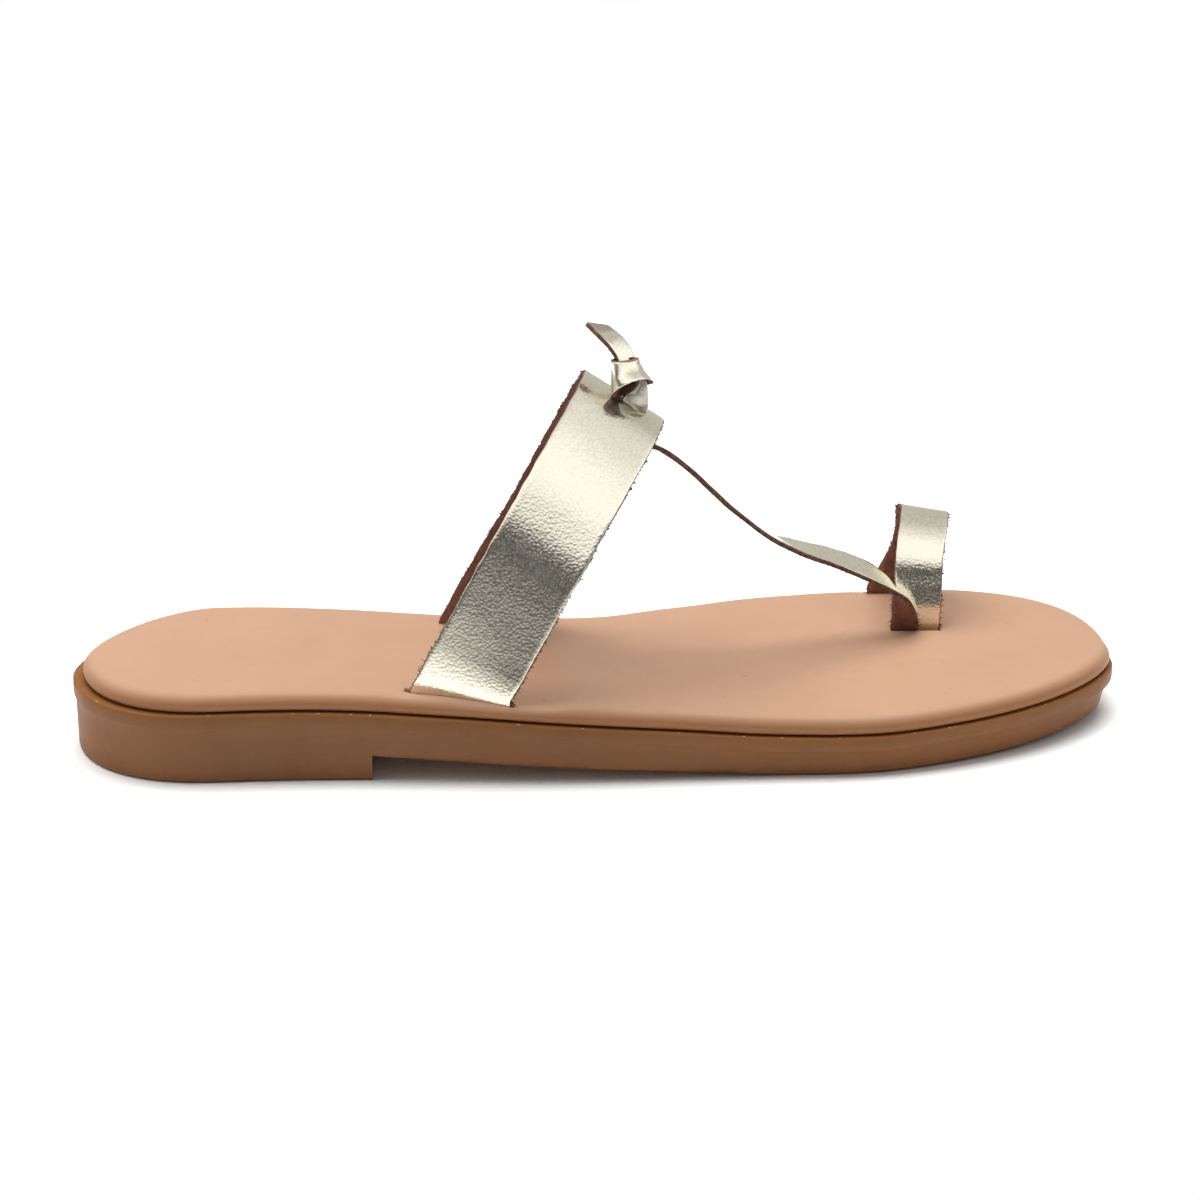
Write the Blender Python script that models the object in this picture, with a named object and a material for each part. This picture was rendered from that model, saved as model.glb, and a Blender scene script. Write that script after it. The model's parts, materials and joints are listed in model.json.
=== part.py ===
"""Right-foot toe loop sandal.

Moulded sole with a low heel, wrapped insole, instep band, toe loop and knotted toe strap.

Metres, +Z up, +X towards the toe, +Y towards the inner (big toe) side.
The origin is at the middle of the sole's footprint, on the floor.
"""

import math
from typing import NamedTuple

import bmesh
import bpy
import numpy as np
from mathutils import Matrix, Vector

MM = 0.001

# Sole sizes
SOLE_LENGTH = 258.3 * MM
HEEL_WIDTH = 63.5 * MM
WAIST_WIDTH = 64.5 * MM
BALL_WIDTH = 89 * MM
HEEL_HEIGHT = 17.6 * MM
FOREPART_HEIGHT = 10.3 * MM
TOE_SPRING = 1.8 * MM
HEEL_BLOCK_LENGTH = 71.8 * MM
ARCH_RISE = 6.6 * MM
ARCH_END = 175.6 * MM
BAND_HEIGHT = 3.6 * MM
BAND_STEP_HEEL = 0.5 * MM
BAND_STEP_TOE = 1.3 * MM
WALL_TAPER_HEEL = 0.3 * MM
WALL_TAPER_TOE = 1.3 * MM
BOTTOM_EDGE_ROUND = 1.0 * MM
BAND_EDGE_ROUND = 0.5 * MM

# Insole sizes
INSOLE_LENGTH = 255 * MM
INSOLE_THICKNESS = 4.2 * MM
INSOLE_INSET = 0.9 * MM
INSOLE_SHIFT = 0.9 * MM
INSOLE_TUCK = 1.0 * MM
INSOLE_ROLL = 3.0 * MM

# Strap sizes
LEATHER = 1.7 * MM
LEATHER_EDGE_ROUND = 0.4 * MM
INSTEP_WIDTH = 22.8 * MM
INSTEP_RISE = 65.4 * MM
INSTEP_LEAN = 36 * MM
TOE_LOOP_WIDTH = 12.2 * MM
TOE_LOOP_RISE = 26.2 * MM
TOE_LOOP_LEAN = 3.4 * MM
TOE_STRAP_WIDTH = 6.8 * MM
TAB_LENGTH = 9 * MM
TAB_BEND = 1.3 * MM

# Places of the straps' slots: share of the sole's length, and distance in from one edge of the sole
INSTEP_LATERAL_ALONG = 0.3623
INSTEP_LATERAL_INBOARD = 6.2 * MM
INSTEP_MEDIAL_ALONG = 0.4
INSTEP_MEDIAL_INBOARD = 7.2 * MM
TOE_INNER_ALONG = 0.819
TOE_INNER_INBOARD = 30 * MM
TOE_OUTER_ALONG = 0.81
TOE_OUTER_INBOARD = 4.6 * MM
# Headings of the slots from the shoe's axis, in degrees
INSTEP_LATERAL_HEADING = -17
INSTEP_MEDIAL_HEADING = -1
TOE_LOOP_HEADING = -8

# Knot sizes
SLIT_PLACE = 0.5
SLIT_ACROSS = 0.20
SLIT_LENGTH = 8.8 * MM
SLIT_WIDTH = 3.2 * MM
KNOT_RISE = 5.9 * MM
KNOT_OUT = 3.0 * MM
KNOT_LEAN_HEEL = 10
KNOT_LEAN_MEDIAL = 14
STAND_TOP = 2.2 * MM
STAND_GATHER = 0.52
WRAP_RADIUS = 3.2 * MM
WRAP_WIDTH = 8.2 * MM
WRAP_START = 80
WRAP_TURN = 395
WRAP_FLARE = 11
WRAP_DROP = 0.8 * MM
# Shares of the wrap where it begins to lie over itself, and over which it climbs one thickness
LAP_START = 0.6
LAP_CLIMB = 0.28
TAIL_START = 4.6 * MM
TAIL_LENGTH = 12.5 * MM
TAIL_BACK = 0.4 * MM
TAIL_CUT = 2.0 * MM
# Widths of the free end at the wrap and at its middle, as shares of the strap's
TAIL_GATHER_START = 0.66
TAIL_GATHER_END = 0.82

# Fits
GAP = 0.3 * MM
SLOT_END_CLEARANCE = 1.1 * MM

# Mesh steps
OUTLINE_STEPS = 44
CHORD_STEPS = 6
WRAP_STEPS = 26
STRAP_STEP = 2.6 * MM
TOE_STRAP_STEP = 1.56 * MM
TAIL_STEP = 1.82 * MM
# Turns in degrees at which the insole's rolled edge and a strap's folded tab have their sections
ROLL_TURNS = (25, 50, 72, 90)
TAB_TURNS = (90, 60, 30, 0)
# How far the middle of a rounded corner lies from its two faces, as a share of its radius
ROUND_MIDDLE = 1 - math.cos(math.pi / 4)


class SoleRow(NamedTuple):
    """Edges of the sole at one place: shares of the length and of a named width."""

    along: float
    lateral: float
    medial: float
    width: float


SOLE_ROWS = (
    SoleRow(0.00, 0.492, 0.508, HEEL_WIDTH),
    SoleRow(0.14, 0.492, 0.508, HEEL_WIDTH),
    SoleRow(0.25, 0.512, 0.462, HEEL_WIDTH),
    SoleRow(0.34, 0.545, 0.415, WAIST_WIDTH),
    SoleRow(0.43, 0.585, 0.405, WAIST_WIDTH),
    SoleRow(0.50, 0.600, 0.435, WAIST_WIDTH),
    SoleRow(0.58, 0.440, 0.415, BALL_WIDTH),
    SoleRow(0.66, 0.450, 0.510, BALL_WIDTH),
    SoleRow(0.72, 0.458, 0.540, BALL_WIDTH),
    SoleRow(0.80, 0.446, 0.553, BALL_WIDTH),
    SoleRow(1.00, 0.440, 0.556, BALL_WIDTH),
)

# Where the rounded ends start, as shares of the length, and how full their curves are
HEEL_END = 0.13
TOE_START = 0.75
HEEL_FULLNESS_LATERAL = 2.14
HEEL_FULLNESS_MEDIAL = 1.66
TOE_FULLNESS_LATERAL = 1.74
TOE_FULLNESS_MEDIAL = 2.5


class HeightRow(NamedTuple):
    """Height of the sole's top at one place: shares of the drop to the forepart and of the toe spring."""

    along: float
    drop: float
    spring: float


HEIGHT_ROWS = (
    HeightRow(0.00, 0.00, 0.0),
    HeightRow(0.26, 0.00, 0.0),
    HeightRow(0.36, 0.18, 0.0),
    HeightRow(0.53, 0.61, 0.0),
    HeightRow(0.66, 0.95, 0.0),
    HeightRow(0.74, 1.00, 0.0),
    HeightRow(0.85, 1.00, 0.3),
    HeightRow(1.00, 1.00, 1.0),
)


def smooth_value(xs, ys, x):
    """Value at x of a smooth curve through the points (xs, ys)."""
    slopes = np.gradient(ys, xs)
    i = int(np.clip(np.searchsorted(xs, x) - 1, 0, len(xs) - 2))
    h = xs[i + 1] - xs[i]
    t = min(max((x - xs[i]) / h, 0.0), 1.0)
    rise = ys[i + 1] - ys[i]
    low = ys[i] + slopes[i] * h * t
    high = ys[i + 1] - slopes[i + 1] * h * (1 - t)
    blend = t * t * (3 - 2 * t)
    straight = ys[i] + rise * t
    return straight + (low - straight) * (1 - blend) * (1 - t) + (high - straight) * blend * t


def rounded_end(share, fullness):
    """Half width of a rounded end, from 1 at its start to 0 at its tip."""
    return (1 - min(max(share, 0.0), 1.0) ** fullness) ** (1 / fullness)


def half_width(side, along):
    """Distance from the sole's axis to its lateral (-1) or medial (+1) edge."""
    widths = [(r.lateral if side < 0 else r.medial) * r.width for r in SOLE_ROWS]
    full = smooth_value([r.along for r in SOLE_ROWS], widths, along)
    heel_fullness = HEEL_FULLNESS_LATERAL if side < 0 else HEEL_FULLNESS_MEDIAL
    toe_fullness = TOE_FULLNESS_LATERAL if side < 0 else TOE_FULLNESS_MEDIAL
    heel = rounded_end((HEEL_END - along) / HEEL_END, heel_fullness)
    toe = rounded_end((along - TOE_START) / (1 - TOE_START), toe_fullness)
    return full * heel * toe


def side_points(side, count):
    """Points of one edge from heel tip to toe tip, evenly spread along it, on the sole's axis."""
    turns = np.linspace(0, math.pi, 1500)
    along = (1 - np.cos(turns)) / 2
    dense = np.array([(a * SOLE_LENGTH, side * half_width(side, a)) for a in along])
    run = np.concatenate([[0], np.cumsum(np.linalg.norm(np.diff(dense, axis=0), axis=1))])
    even = np.linspace(0, run[-1], count)
    return np.stack([np.interp(even, run, dense[:, 0]), np.interp(even, run, dense[:, 1])], 1)


LATERAL_EDGE = side_points(-1, OUTLINE_STEPS + 1)
MEDIAL_EDGE = side_points(1, OUTLINE_STEPS + 1)
# The axis is moved so that the footprint is centred on the origin.
AXIS_Y = -(LATERAL_EDGE[:, 1].min() + MEDIAL_EDGE[:, 1].max()) / 2
HEEL_X = -SOLE_LENGTH / 2


def along_of(x):
    """Share of the sole's length at a place x of the shoe."""
    return min(max((x - HEEL_X) / SOLE_LENGTH, 0.0), 1.0)


def edge_y(side, x):
    return AXIS_Y + side * half_width(side, along_of(x))


def seam_height(x):
    """Height of the sole's top, where the insole sits."""
    along = [r.along for r in HEIGHT_ROWS]
    drop = smooth_value(along, [r.drop for r in HEIGHT_ROWS], along_of(x))
    spring = smooth_value(along, [r.spring for r in HEIGHT_ROWS], along_of(x))
    return HEEL_HEIGHT + (FOREPART_HEIGHT - HEEL_HEIGHT) * drop + TOE_SPRING * spring


def seam_slope(x):
    step = 1 * MM
    return (seam_height(x + step) - seam_height(x - step)) / (2 * step)


def floor_height(x):
    """Height of the sole's underside without the arch: flat, then the toe spring."""
    along = [r.along for r in HEIGHT_ROWS]
    return TOE_SPRING * smooth_value(along, [r.spring for r in HEIGHT_ROWS], along_of(x))


def footbed_height(x):
    return seam_height(x) + GAP + INSOLE_THICKNESS


def outline():
    """The footprint as a closed ring of points, heel tip first, lateral edge, toe tip, medial edge."""
    ring = np.concatenate([LATERAL_EDGE, MEDIAL_EDGE[-2:0:-1]])
    return ring + np.array([HEEL_X, AXIS_Y])


def inset_ring(ring, distances):
    """The ring moved inwards by a distance at each point."""
    ahead = np.roll(ring, -1, axis=0) - np.roll(ring, 1, axis=0)
    ahead /= np.linalg.norm(ahead, axis=1)[:, None]
    inwards = np.stack([-ahead[:, 1], ahead[:, 0]], 1)
    return ring + inwards * np.asarray(distances)[:, None]


def link(name, mesh_data, collection):
    obj = bpy.data.objects.new(name, mesh_data)
    collection.objects.link(obj)
    return obj


def closed_loft(name, rings, collection):
    """Solid through rings of the same number of points, capped at both ends by chords from side to side."""
    bm = bmesh.new()
    loops = [[bm.verts.new(p) for p in ring] for ring in rings]
    count = len(rings[0])
    for low, high in zip(loops, loops[1:]):
        for i in range(count):
            j = (i + 1) % count
            bm.faces.new((low[i], low[j], high[j], high[i]))
    cap_with_chords(bm, loops[0], True)
    cap_with_chords(bm, loops[-1], False)
    bmesh.ops.recalc_face_normals(bm, faces=bm.faces)
    mesh_data = bpy.data.meshes.new(name)
    bm.to_mesh(mesh_data)
    bm.free()
    return link(name, mesh_data, collection)


def cap_with_chords(bm, loop, faces_down):
    """Closes a footprint loop with rows of faces that run from the lateral to the medial edge."""
    half = len(loop) // 2
    rows = []
    for k in range(1, half):
        start, end = loop[k], loop[-k]
        row = [start]
        for step in range(1, CHORD_STEPS):
            row.append(bm.verts.new(start.co.lerp(end.co, step / CHORD_STEPS)))
        rows.append(row + [end])
    for low, high in zip(rows, rows[1:]):
        for s in range(CHORD_STEPS):
            corners = (low[s], low[s + 1], high[s + 1], high[s])
            bm.faces.new(corners if faces_down else corners[::-1])
    for tip, row in ((loop[0], rows[0]), (loop[half], rows[-1])):
        for s in range(CHORD_STEPS):
            bm.faces.new((tip, row[s], row[s + 1]))


def ring_at(ring, heights, insets):
    flat = inset_ring(ring, insets)
    return [(p[0], p[1], z) for p, z in zip(flat, heights)]


def make_outsole(collection):
    """Moulded sole: tapered wall, proud band round the top and a low heel, before its arch is cut."""
    ring = outline()
    shares = np.array([along_of(x) for x in ring[:, 0]])
    step = BAND_STEP_HEEL + (BAND_STEP_TOE - BAND_STEP_HEEL) * shares
    bottom = np.array([floor_height(x) for x in ring[:, 0]])
    top = np.array([seam_height(x) for x in ring[:, 0]])
    line = top - BAND_HEIGHT
    foot = step + WALL_TAPER_HEEL + (WALL_TAPER_TOE - WALL_TAPER_HEEL) * shares
    flush = np.zeros(len(ring))
    corner = ROUND_MIDDLE * BOTTOM_EDGE_ROUND
    profile = (
        (bottom, foot + BOTTOM_EDGE_ROUND),
        (bottom + corner, foot + corner),
        (bottom + BOTTOM_EDGE_ROUND, foot),
        (line - BAND_EDGE_ROUND / 2, step),
        (line, step / 5),
        (line + BAND_EDGE_ROUND, flush),
        (top - BAND_EDGE_ROUND, flush),
        (top, flush + BAND_EDGE_ROUND),
    )
    rings = [ring_at(ring, heights, insets) for heights, insets in profile]
    return closed_loft("outsole", rings, collection)


def make_insole(collection):
    """Wrapped insole: tucked in at the seam, with a rolled upper edge."""
    shortening = (INSOLE_LENGTH + 2 * INSOLE_INSET) / SOLE_LENGTH
    ring = outline() * np.array([shortening, 1]) + np.array([INSOLE_SHIFT, 0])
    base = np.array([seam_height(x) for x in ring[:, 0]]) + GAP
    side_top = INSOLE_THICKNESS - INSOLE_ROLL
    profile = [(0.0, INSOLE_TUCK), (0.35 * side_top, 0.3 * INSOLE_TUCK), (side_top, 0.0)]
    for degrees in ROLL_TURNS:
        turn = math.radians(degrees)
        rise = side_top + INSOLE_ROLL * math.sin(turn)
        profile.append((rise, INSOLE_ROLL * (1 - math.cos(turn))))
    rings = []
    for rise, inset in profile:
        rings.append(ring_at(ring, base + rise, np.full(len(ring), INSOLE_INSET + inset)))
    return closed_loft("insole", rings, collection)


class Slot(NamedTuple):
    """A slot in the insole: the middle of its mouth, the way it runs, and the way its strap's tab folds."""

    centre: Vector
    run: Vector
    inward: Vector
    length: float
    layers: int


def make_slot(side, along, inboard, heading, length, layers, tab_side):
    """Slot at a share of the length, inboard of one edge, headed some degrees from the shoe's axis."""
    x = HEEL_X + along * SOLE_LENGTH
    y = edge_y(side, x) - side * inboard
    turn = math.radians(heading)
    run = Vector((math.cos(turn), math.sin(turn), seam_slope(x) * math.cos(turn))).normalized()
    across = Vector((-math.sin(turn), math.cos(turn), -seam_slope(x) * math.sin(turn)))
    centre = Vector((x, y, footbed_height(x)))
    return Slot(centre, run, across.normalized() * tab_side, length, layers)


# The band leans forward, so its slot is longer than the band is wide.
LEAN_ANGLE = math.atan2(INSTEP_LEAN, INSTEP_RISE)
INSTEP_FOOT = INSTEP_WIDTH / math.cos(LEAN_ANGLE)
INSTEP_LATERAL = make_slot(
    side=-1,
    along=INSTEP_LATERAL_ALONG,
    inboard=INSTEP_LATERAL_INBOARD,
    heading=INSTEP_LATERAL_HEADING,
    length=INSTEP_FOOT,
    layers=1,
    tab_side=1,
)
INSTEP_MEDIAL = make_slot(
    side=1,
    along=INSTEP_MEDIAL_ALONG,
    inboard=INSTEP_MEDIAL_INBOARD,
    heading=INSTEP_MEDIAL_HEADING,
    length=INSTEP_FOOT,
    layers=1,
    tab_side=-1,
)
TOE_INNER = make_slot(
    side=1,
    along=TOE_INNER_ALONG,
    inboard=TOE_INNER_INBOARD,
    heading=TOE_LOOP_HEADING,
    length=TOE_LOOP_WIDTH,
    layers=2,
    tab_side=1,
)
TOE_OUTER = make_slot(
    side=1,
    along=TOE_OUTER_ALONG,
    inboard=TOE_OUTER_INBOARD,
    heading=TOE_LOOP_HEADING,
    length=TOE_LOOP_WIDTH,
    layers=1,
    tab_side=-1,
)
SLOTS = (INSTEP_LATERAL, INSTEP_MEDIAL, TOE_INNER, TOE_OUTER)
# The toe strap shares the loop's inner slot: it lies outside the loop, at the slot's heel end,
# and its tab folds the other way.
LAYER_STEP = TOE_INNER.inward * ((LEATHER + GAP) / 2)
HEEL_END_STEP = TOE_INNER.run * ((TOE_LOOP_WIDTH - TOE_STRAP_WIDTH) / 2)
TOE_STRAP_SLOT = TOE_INNER._replace(
    centre=TOE_INNER.centre - LAYER_STEP - HEEL_END_STEP,
    inward=-TOE_INNER.inward,
)


class Section(NamedTuple):
    """Cross-section of a strap: its middle, half its width as a vector, and where its smooth side faces."""

    centre: Vector
    half: Vector
    face: Vector


class ArchRow(NamedTuple):
    """One section of a strap that arches from slot to slot.

    across is a share of the way from the first slot to the second, rise and lean are shares of the
    arch's own, and dip is how far the section tips forward and down, in degrees.
    """

    across: float
    rise: float
    lean: float
    dip: float


def curve_through(points, step):
    """Rows at evenly spaced places on a smooth curve through the rows of points."""
    points = np.asarray(points, float)
    place = points[:, :3]
    knots = np.concatenate([[0], np.cumsum(np.linalg.norm(np.diff(place, axis=0), axis=1) ** 0.5)])
    fine = np.linspace(0, knots[-1], 40 * len(points))
    dense = np.array([[smooth_value(knots, points[:, c], t) for c in range(points.shape[1])] for t in fine])
    run = np.concatenate([[0], np.cumsum(np.linalg.norm(np.diff(dense[:, :3], axis=0), axis=1))])
    even = np.linspace(0, run[-1], max(3, round(run[-1] / step) + 1))
    return np.stack([np.interp(even, run, dense[:, c]) for c in range(points.shape[1])], 1)


def sections_along(path, width):
    """Sections of a strap from rows of place and width direction; oblique ones are wider than the strap."""
    centres = [Vector(row[:3]) for row in path]
    sections = []
    for i, row in enumerate(path):
        ahead = (centres[min(i + 1, len(path) - 1)] - centres[max(i - 1, 0)]).normalized()
        side = Vector(row[3:6]).normalized()
        slant = max((side - ahead * side.dot(ahead)).length, 0.5)
        face = ahead.cross(side).normalized()
        sections.append(Section(centres[i], side * (width / 2 / slant), face))
    return sections


def square_sections(path, width):
    """Sections of a strap that stay square to its path, from rows of place and rough width direction."""
    centres = [Vector(row[:3]) for row in path]
    sections = []
    for i, row in enumerate(path):
        ahead = (centres[min(i + 1, len(path) - 1)] - centres[max(i - 1, 0)]).normalized()
        side = Vector(row[3:6])
        side = (side - ahead * side.dot(ahead)).normalized()
        sections.append(Section(centres[i], side * (width / 2), ahead.cross(side).normalized()))
    return sections


def tab_sections(slot, foot, shift):
    """Sections that carry a strap down through its slot and fold it inwards under the insole."""
    down = Vector((0, 0, -1))
    inward = slot.inward
    half = slot.run * min(foot.half.length, slot.length / 2)
    half = -half if half.dot(foot.half) < 0 else half
    # The strap's middle drops until the fold's underside would touch the pocket's floor.
    mouth = slot.centre + shift
    drop = INSOLE_THICKNESS + GAP + LEATHER / 2 - TAB_BEND
    centre = mouth + down * drop + inward * TAB_BEND
    face_turns = -1 if foot.face.dot(inward) < 0 else 1
    bent = []
    for degrees in TAB_TURNS:
        turn = math.radians(degrees)
        outwards = -inward * math.cos(turn) + down * math.sin(turn)
        bent.append(Section(centre + outwards * TAB_BEND, half, -outwards * face_turns))
    end = bent[0].centre + inward * TAB_LENGTH
    return [Section(end, half, bent[0].face)] + bent


def arch_sections(rows, first, second, rise, lean, width, shift):
    """Sections of a strap from the tab in its first slot, over the arch, to the tab in its second slot."""
    start, end = first.centre + shift, second.centre
    table = []
    for row in rows:
        point = start.lerp(end, row.across) + Vector((row.lean * lean, 0, row.rise * rise))
        blend = row.across * row.across * (3 - 2 * row.across)
        side = first.run.lerp(second.run, min(max(blend, 0), 1)).normalized()
        dip = math.radians(row.dip)
        side = side * math.cos(dip) - Vector((0, 0, math.sin(dip)))
        table.append((*point, *side))
    sections = sections_along(curve_through(table, STRAP_STEP), width)
    if sections[len(sections) // 2].face.z < 0:
        sections = [Section(s.centre, s.half, -s.face) for s in sections]
    feet = tab_sections(first, sections[0], shift)
    far_feet = tab_sections(second, sections[-1], Vector((0, 0, 0)))
    return feet + sections + far_feet[::-1]


INSTEP_ROWS = (
    ArchRow(0.000, 0.00, 0.00, 0),
    ArchRow(-0.005, 0.06, 0.055, 9),
    ArchRow(0.011, 0.20, 0.195, 24),
    ArchRow(0.050, 0.40, 0.39, 29),
    ArchRow(0.100, 0.60, 0.59, 30),
    ArchRow(0.155, 0.78, 0.77, 30),
    ArchRow(0.250, 0.91, 0.905, 30),
    ArchRow(0.370, 0.98, 0.98, 30),
    ArchRow(0.500, 1.00, 1.00, 30),
    ArchRow(0.630, 0.98, 0.98, 30),
    ArchRow(0.750, 0.91, 0.905, 30),
    ArchRow(0.850, 0.78, 0.78, 30),
    ArchRow(0.920, 0.60, 0.60, 30),
    ArchRow(0.975, 0.40, 0.40, 30),
    ArchRow(1.005, 0.20, 0.20, 24),
    ArchRow(1.008, 0.06, 0.055, 9),
    ArchRow(1.000, 0.00, 0.00, 0),
)

TOE_LOOP_ROWS = (
    ArchRow(0.00, 0.00, 0.00, 0),
    ArchRow(-0.02, 0.20, 0.05, 1),
    ArchRow(-0.01, 0.45, 0.15, 2),
    ArchRow(0.06, 0.70, 0.36, 4),
    ArchRow(0.22, 0.92, 0.65, 7),
    ArchRow(0.46, 1.00, 1.00, 9),
    ArchRow(0.72, 0.93, 1.50, 13),
    ArchRow(0.92, 0.72, 1.85, 17),
    ArchRow(1.01, 0.45, 1.80, 19),
    ArchRow(1.02, 0.22, 0.75, 12),
    ArchRow(1.00, 0.07, 0.08, 3),
    ArchRow(1.00, 0.00, 0.00, 0),
)


class RouteRow(NamedTuple):
    """One place on the toe strap, in mm from the loop's inner slot: its middle and its width direction."""

    x: float
    y: float
    z: float
    side_x: float
    side_y: float
    side_z: float


TOE_STRAP_ROWS = (
    RouteRow(0.0, 0.0, 0.0, 0.99, -0.14, 0.0),
    RouteRow(-0.6, -1.8, 4.9, 0.75, -0.65, 0.1),
    RouteRow(-2.0, -3.4, 9.7, 0.35, -0.93, 0.1),
    RouteRow(-4.6, -4.2, 12.9, 0.1, -0.98, -0.15),
    RouteRow(-7.8, -4.6, 15.5, 0.05, -0.94, -0.33),
    RouteRow(-11.5, -5.2, 18.0, 0.0, -0.92, -0.38),
    RouteRow(-18.8, -6.8, 21.7, 0.0, -0.94, -0.32),
    RouteRow(-30.2, -11.1, 27.0, 0.0, -0.98, -0.05),
    RouteRow(-36.4, -13.3, 30.4, -0.05, -0.97, 0.2),
    RouteRow(-46.3, -16.9, 39.1, -0.08, -0.94, 0.33),
    RouteRow(-51.8, -19.0, 45.0, -0.08, -0.94, 0.33),
    RouteRow(-58.4, -21.5, 52.1, -0.08, -0.94, 0.33),
    RouteRow(-66.2, -24.6, 58.9, -0.08, -0.96, 0.28),
)


class StandRow(NamedTuple):
    """One place on the toe strap under the band, in mm from the slit's middle in the band's own directions.

    forward, sideways and outward give its middle; the rest give its width direction.
    """

    forward: float
    sideways: float
    outward: float
    side_forward: float
    side_sideways: float
    side_outward: float


STAND_ROWS = (
    StandRow(6.5, 0.0, -5.7, -0.1, -1.0, 0.0),
    StandRow(2.8, -0.2, -4.9, -0.6, -0.8, -0.3),
    StandRow(0.4, -0.1, -2.6, -0.9, -0.4, -0.2),
    StandRow(0.0, 0.0, 0.0, -1.0, 0.0, 0.0),
)


class TailRow(NamedTuple):
    """One place on the knot's free end, as shares of its length, and how far its width faces the toe."""

    right: float
    up: float
    back: float
    facing: float


TAIL_ROWS = (
    TailRow(0.0, 0.0, 0.0, 0.9),
    TailRow(0.0, 0.12, 0.0, 0.9),
    TailRow(-0.02, 0.28, 0.01, 0.88),
    TailRow(-0.12, 0.50, 0.03, 0.8),
    TailRow(-0.26, 0.72, 0.07, 0.7),
    TailRow(-0.41, 0.90, 0.12, 0.62),
)


def slit_frame(sections):
    """Middle of the slit near the top of the instep band, with the band's own directions.

    The directions are forward, sideways and outward.
    """
    place = SLIT_PLACE * (len(sections) - 1)
    low = sections[int(place)]
    high = sections[int(place) + 1]
    share = place - int(place)
    forward = low.half.lerp(high.half, share)
    if forward.x < 0:
        forward = -forward
    centre = low.centre.lerp(high.centre, share) + forward * SLIT_ACROSS
    outward = low.face.lerp(high.face, share).normalized()
    forward = (forward - outward * forward.dot(outward)).normalized()
    return centre, forward, outward.cross(forward), outward


def knot_axis():
    """Way in which the knot's wrap points, up and a little towards the heel and the inner side."""
    heel = math.tan(math.radians(KNOT_LEAN_HEEL))
    medial = math.tan(math.radians(KNOT_LEAN_MEDIAL))
    return Vector((-heel, medial, 1)).normalized()


def toe_strap_sections(frame):
    """Sections of the toe strap: tab, twist beside the loop, rise to the band and through its slit."""
    centre, forward, sideways, outward = frame
    origin = TOE_STRAP_SLOT.centre
    path = []
    for row in TOE_STRAP_ROWS:
        place = origin + Vector(row[:3]) * MM
        path.append((*place, *row[3:]))
    for row in STAND_ROWS:
        place = centre + (forward * row.forward + sideways * row.sideways + outward * row.outward) * MM
        side = forward * row.side_forward + sideways * row.side_sideways + outward * row.side_outward
        path.append((*place, *side))
    axis = knot_axis()
    root = knot_root(frame)
    path.append((*(centre.lerp(root, 0.5) + outward * MM), *-forward))
    path.append((*root, *-forward))
    path.append((*(root + axis * STAND_TOP), *-forward))
    sections = square_sections(curve_through(path, TOE_STRAP_STEP), TOE_STRAP_WIDTH)
    # The strap is gathered narrower from the slit up into the knot.
    gathered = []
    for section in sections:
        offset = section.centre - centre
        height = offset.dot(axis) if offset.length < 2 * KNOT_RISE else 0.0
        share = min(max(height / (0.8 * KNOT_RISE), 0.0), 1.0)
        gathered.append(section._replace(half=section.half * (1 - (1 - STAND_GATHER) * share)))
    return tab_sections(TOE_STRAP_SLOT, gathered[0], Vector((0, 0, 0))) + gathered


def knot_root(frame):
    """Middle of the knot's lower mouth."""
    return frame[0] + Vector((0, -KNOT_OUT, KNOT_RISE))


def knot_frame(frame):
    """The knot's lower mouth, and its ways right (toe), back (inner side) and along its axis."""
    axis = knot_axis()
    right = (frame[1] - axis * frame[1].dot(axis)).normalized()
    return knot_root(frame), right, axis.cross(right), axis


def wrap_sections(frame):
    """Sections of the knot's wrap, a little over one turn round the standing end of the toe strap."""
    root, right, back, axis = knot_frame(frame)
    middle = root + axis * (WRAP_WIDTH / 2)
    flare = math.tan(math.radians(WRAP_FLARE))
    sections = []
    for i in range(WRAP_STEPS + 1):
        share = i / WRAP_STEPS
        turn = math.radians(WRAP_START - WRAP_TURN * share)
        out = right * math.cos(turn) + back * math.sin(turn)
        climb = min(max(0.0, share - LAP_START) / LAP_CLIMB, 1.0)
        radius = WRAP_RADIUS + (LEATHER + GAP) * climb
        place = middle + out * radius - axis * (WRAP_DROP * max(0.0, 2 * share - 1))
        half = (axis - out * flare).normalized() * (WRAP_WIDTH / 2)
        sections.append(Section(place, half, (out + axis * flare).normalized()))
    return sections


def tail_sections(frame):
    """Sections of the strap's free end, out of the top of the wrap and towards the heel."""
    root, right, back, axis = knot_frame(frame)
    start = root + axis * TAIL_START + back * TAIL_BACK
    path = []
    for row in TAIL_ROWS:
        place = start + (right * row.right + axis * row.up + back * row.back) * TAIL_LENGTH
        side = right * row.facing + back * math.sqrt(1 - row.facing * row.facing)
        path.append((*place, *-side))
    sections = square_sections(curve_through(path, TAIL_STEP), TOE_STRAP_WIDTH)
    # The strap leaves the wrap gathered, and its end is cut at a slant.
    gathered = []
    for i, section in enumerate(sections):
        share = min(i / (0.5 * len(sections)), 1.0)
        width = TAIL_GATHER_START + (TAIL_GATHER_END - TAIL_GATHER_START) * share
        gathered.append(section._replace(half=section.half * width))
    end = gathered[-1]
    ahead = (end.centre - gathered[-2].centre).normalized()
    return gathered[:-3] + [end._replace(half=end.half + ahead * TAIL_CUT)]


def make_knot(frame, collection, cutters):
    """The wrap and the free end as one body."""
    knot = make_strap("knot", wrap_sections(frame), collection)
    tail = make_strap("knot_tail", tail_sections(frame), cutters)
    tail.hide_render = True
    tail.display_type = "WIRE"
    modifier = knot.modifiers.new("tail", "BOOLEAN")
    modifier.operation = "UNION"
    modifier.object = tail
    return knot


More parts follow.
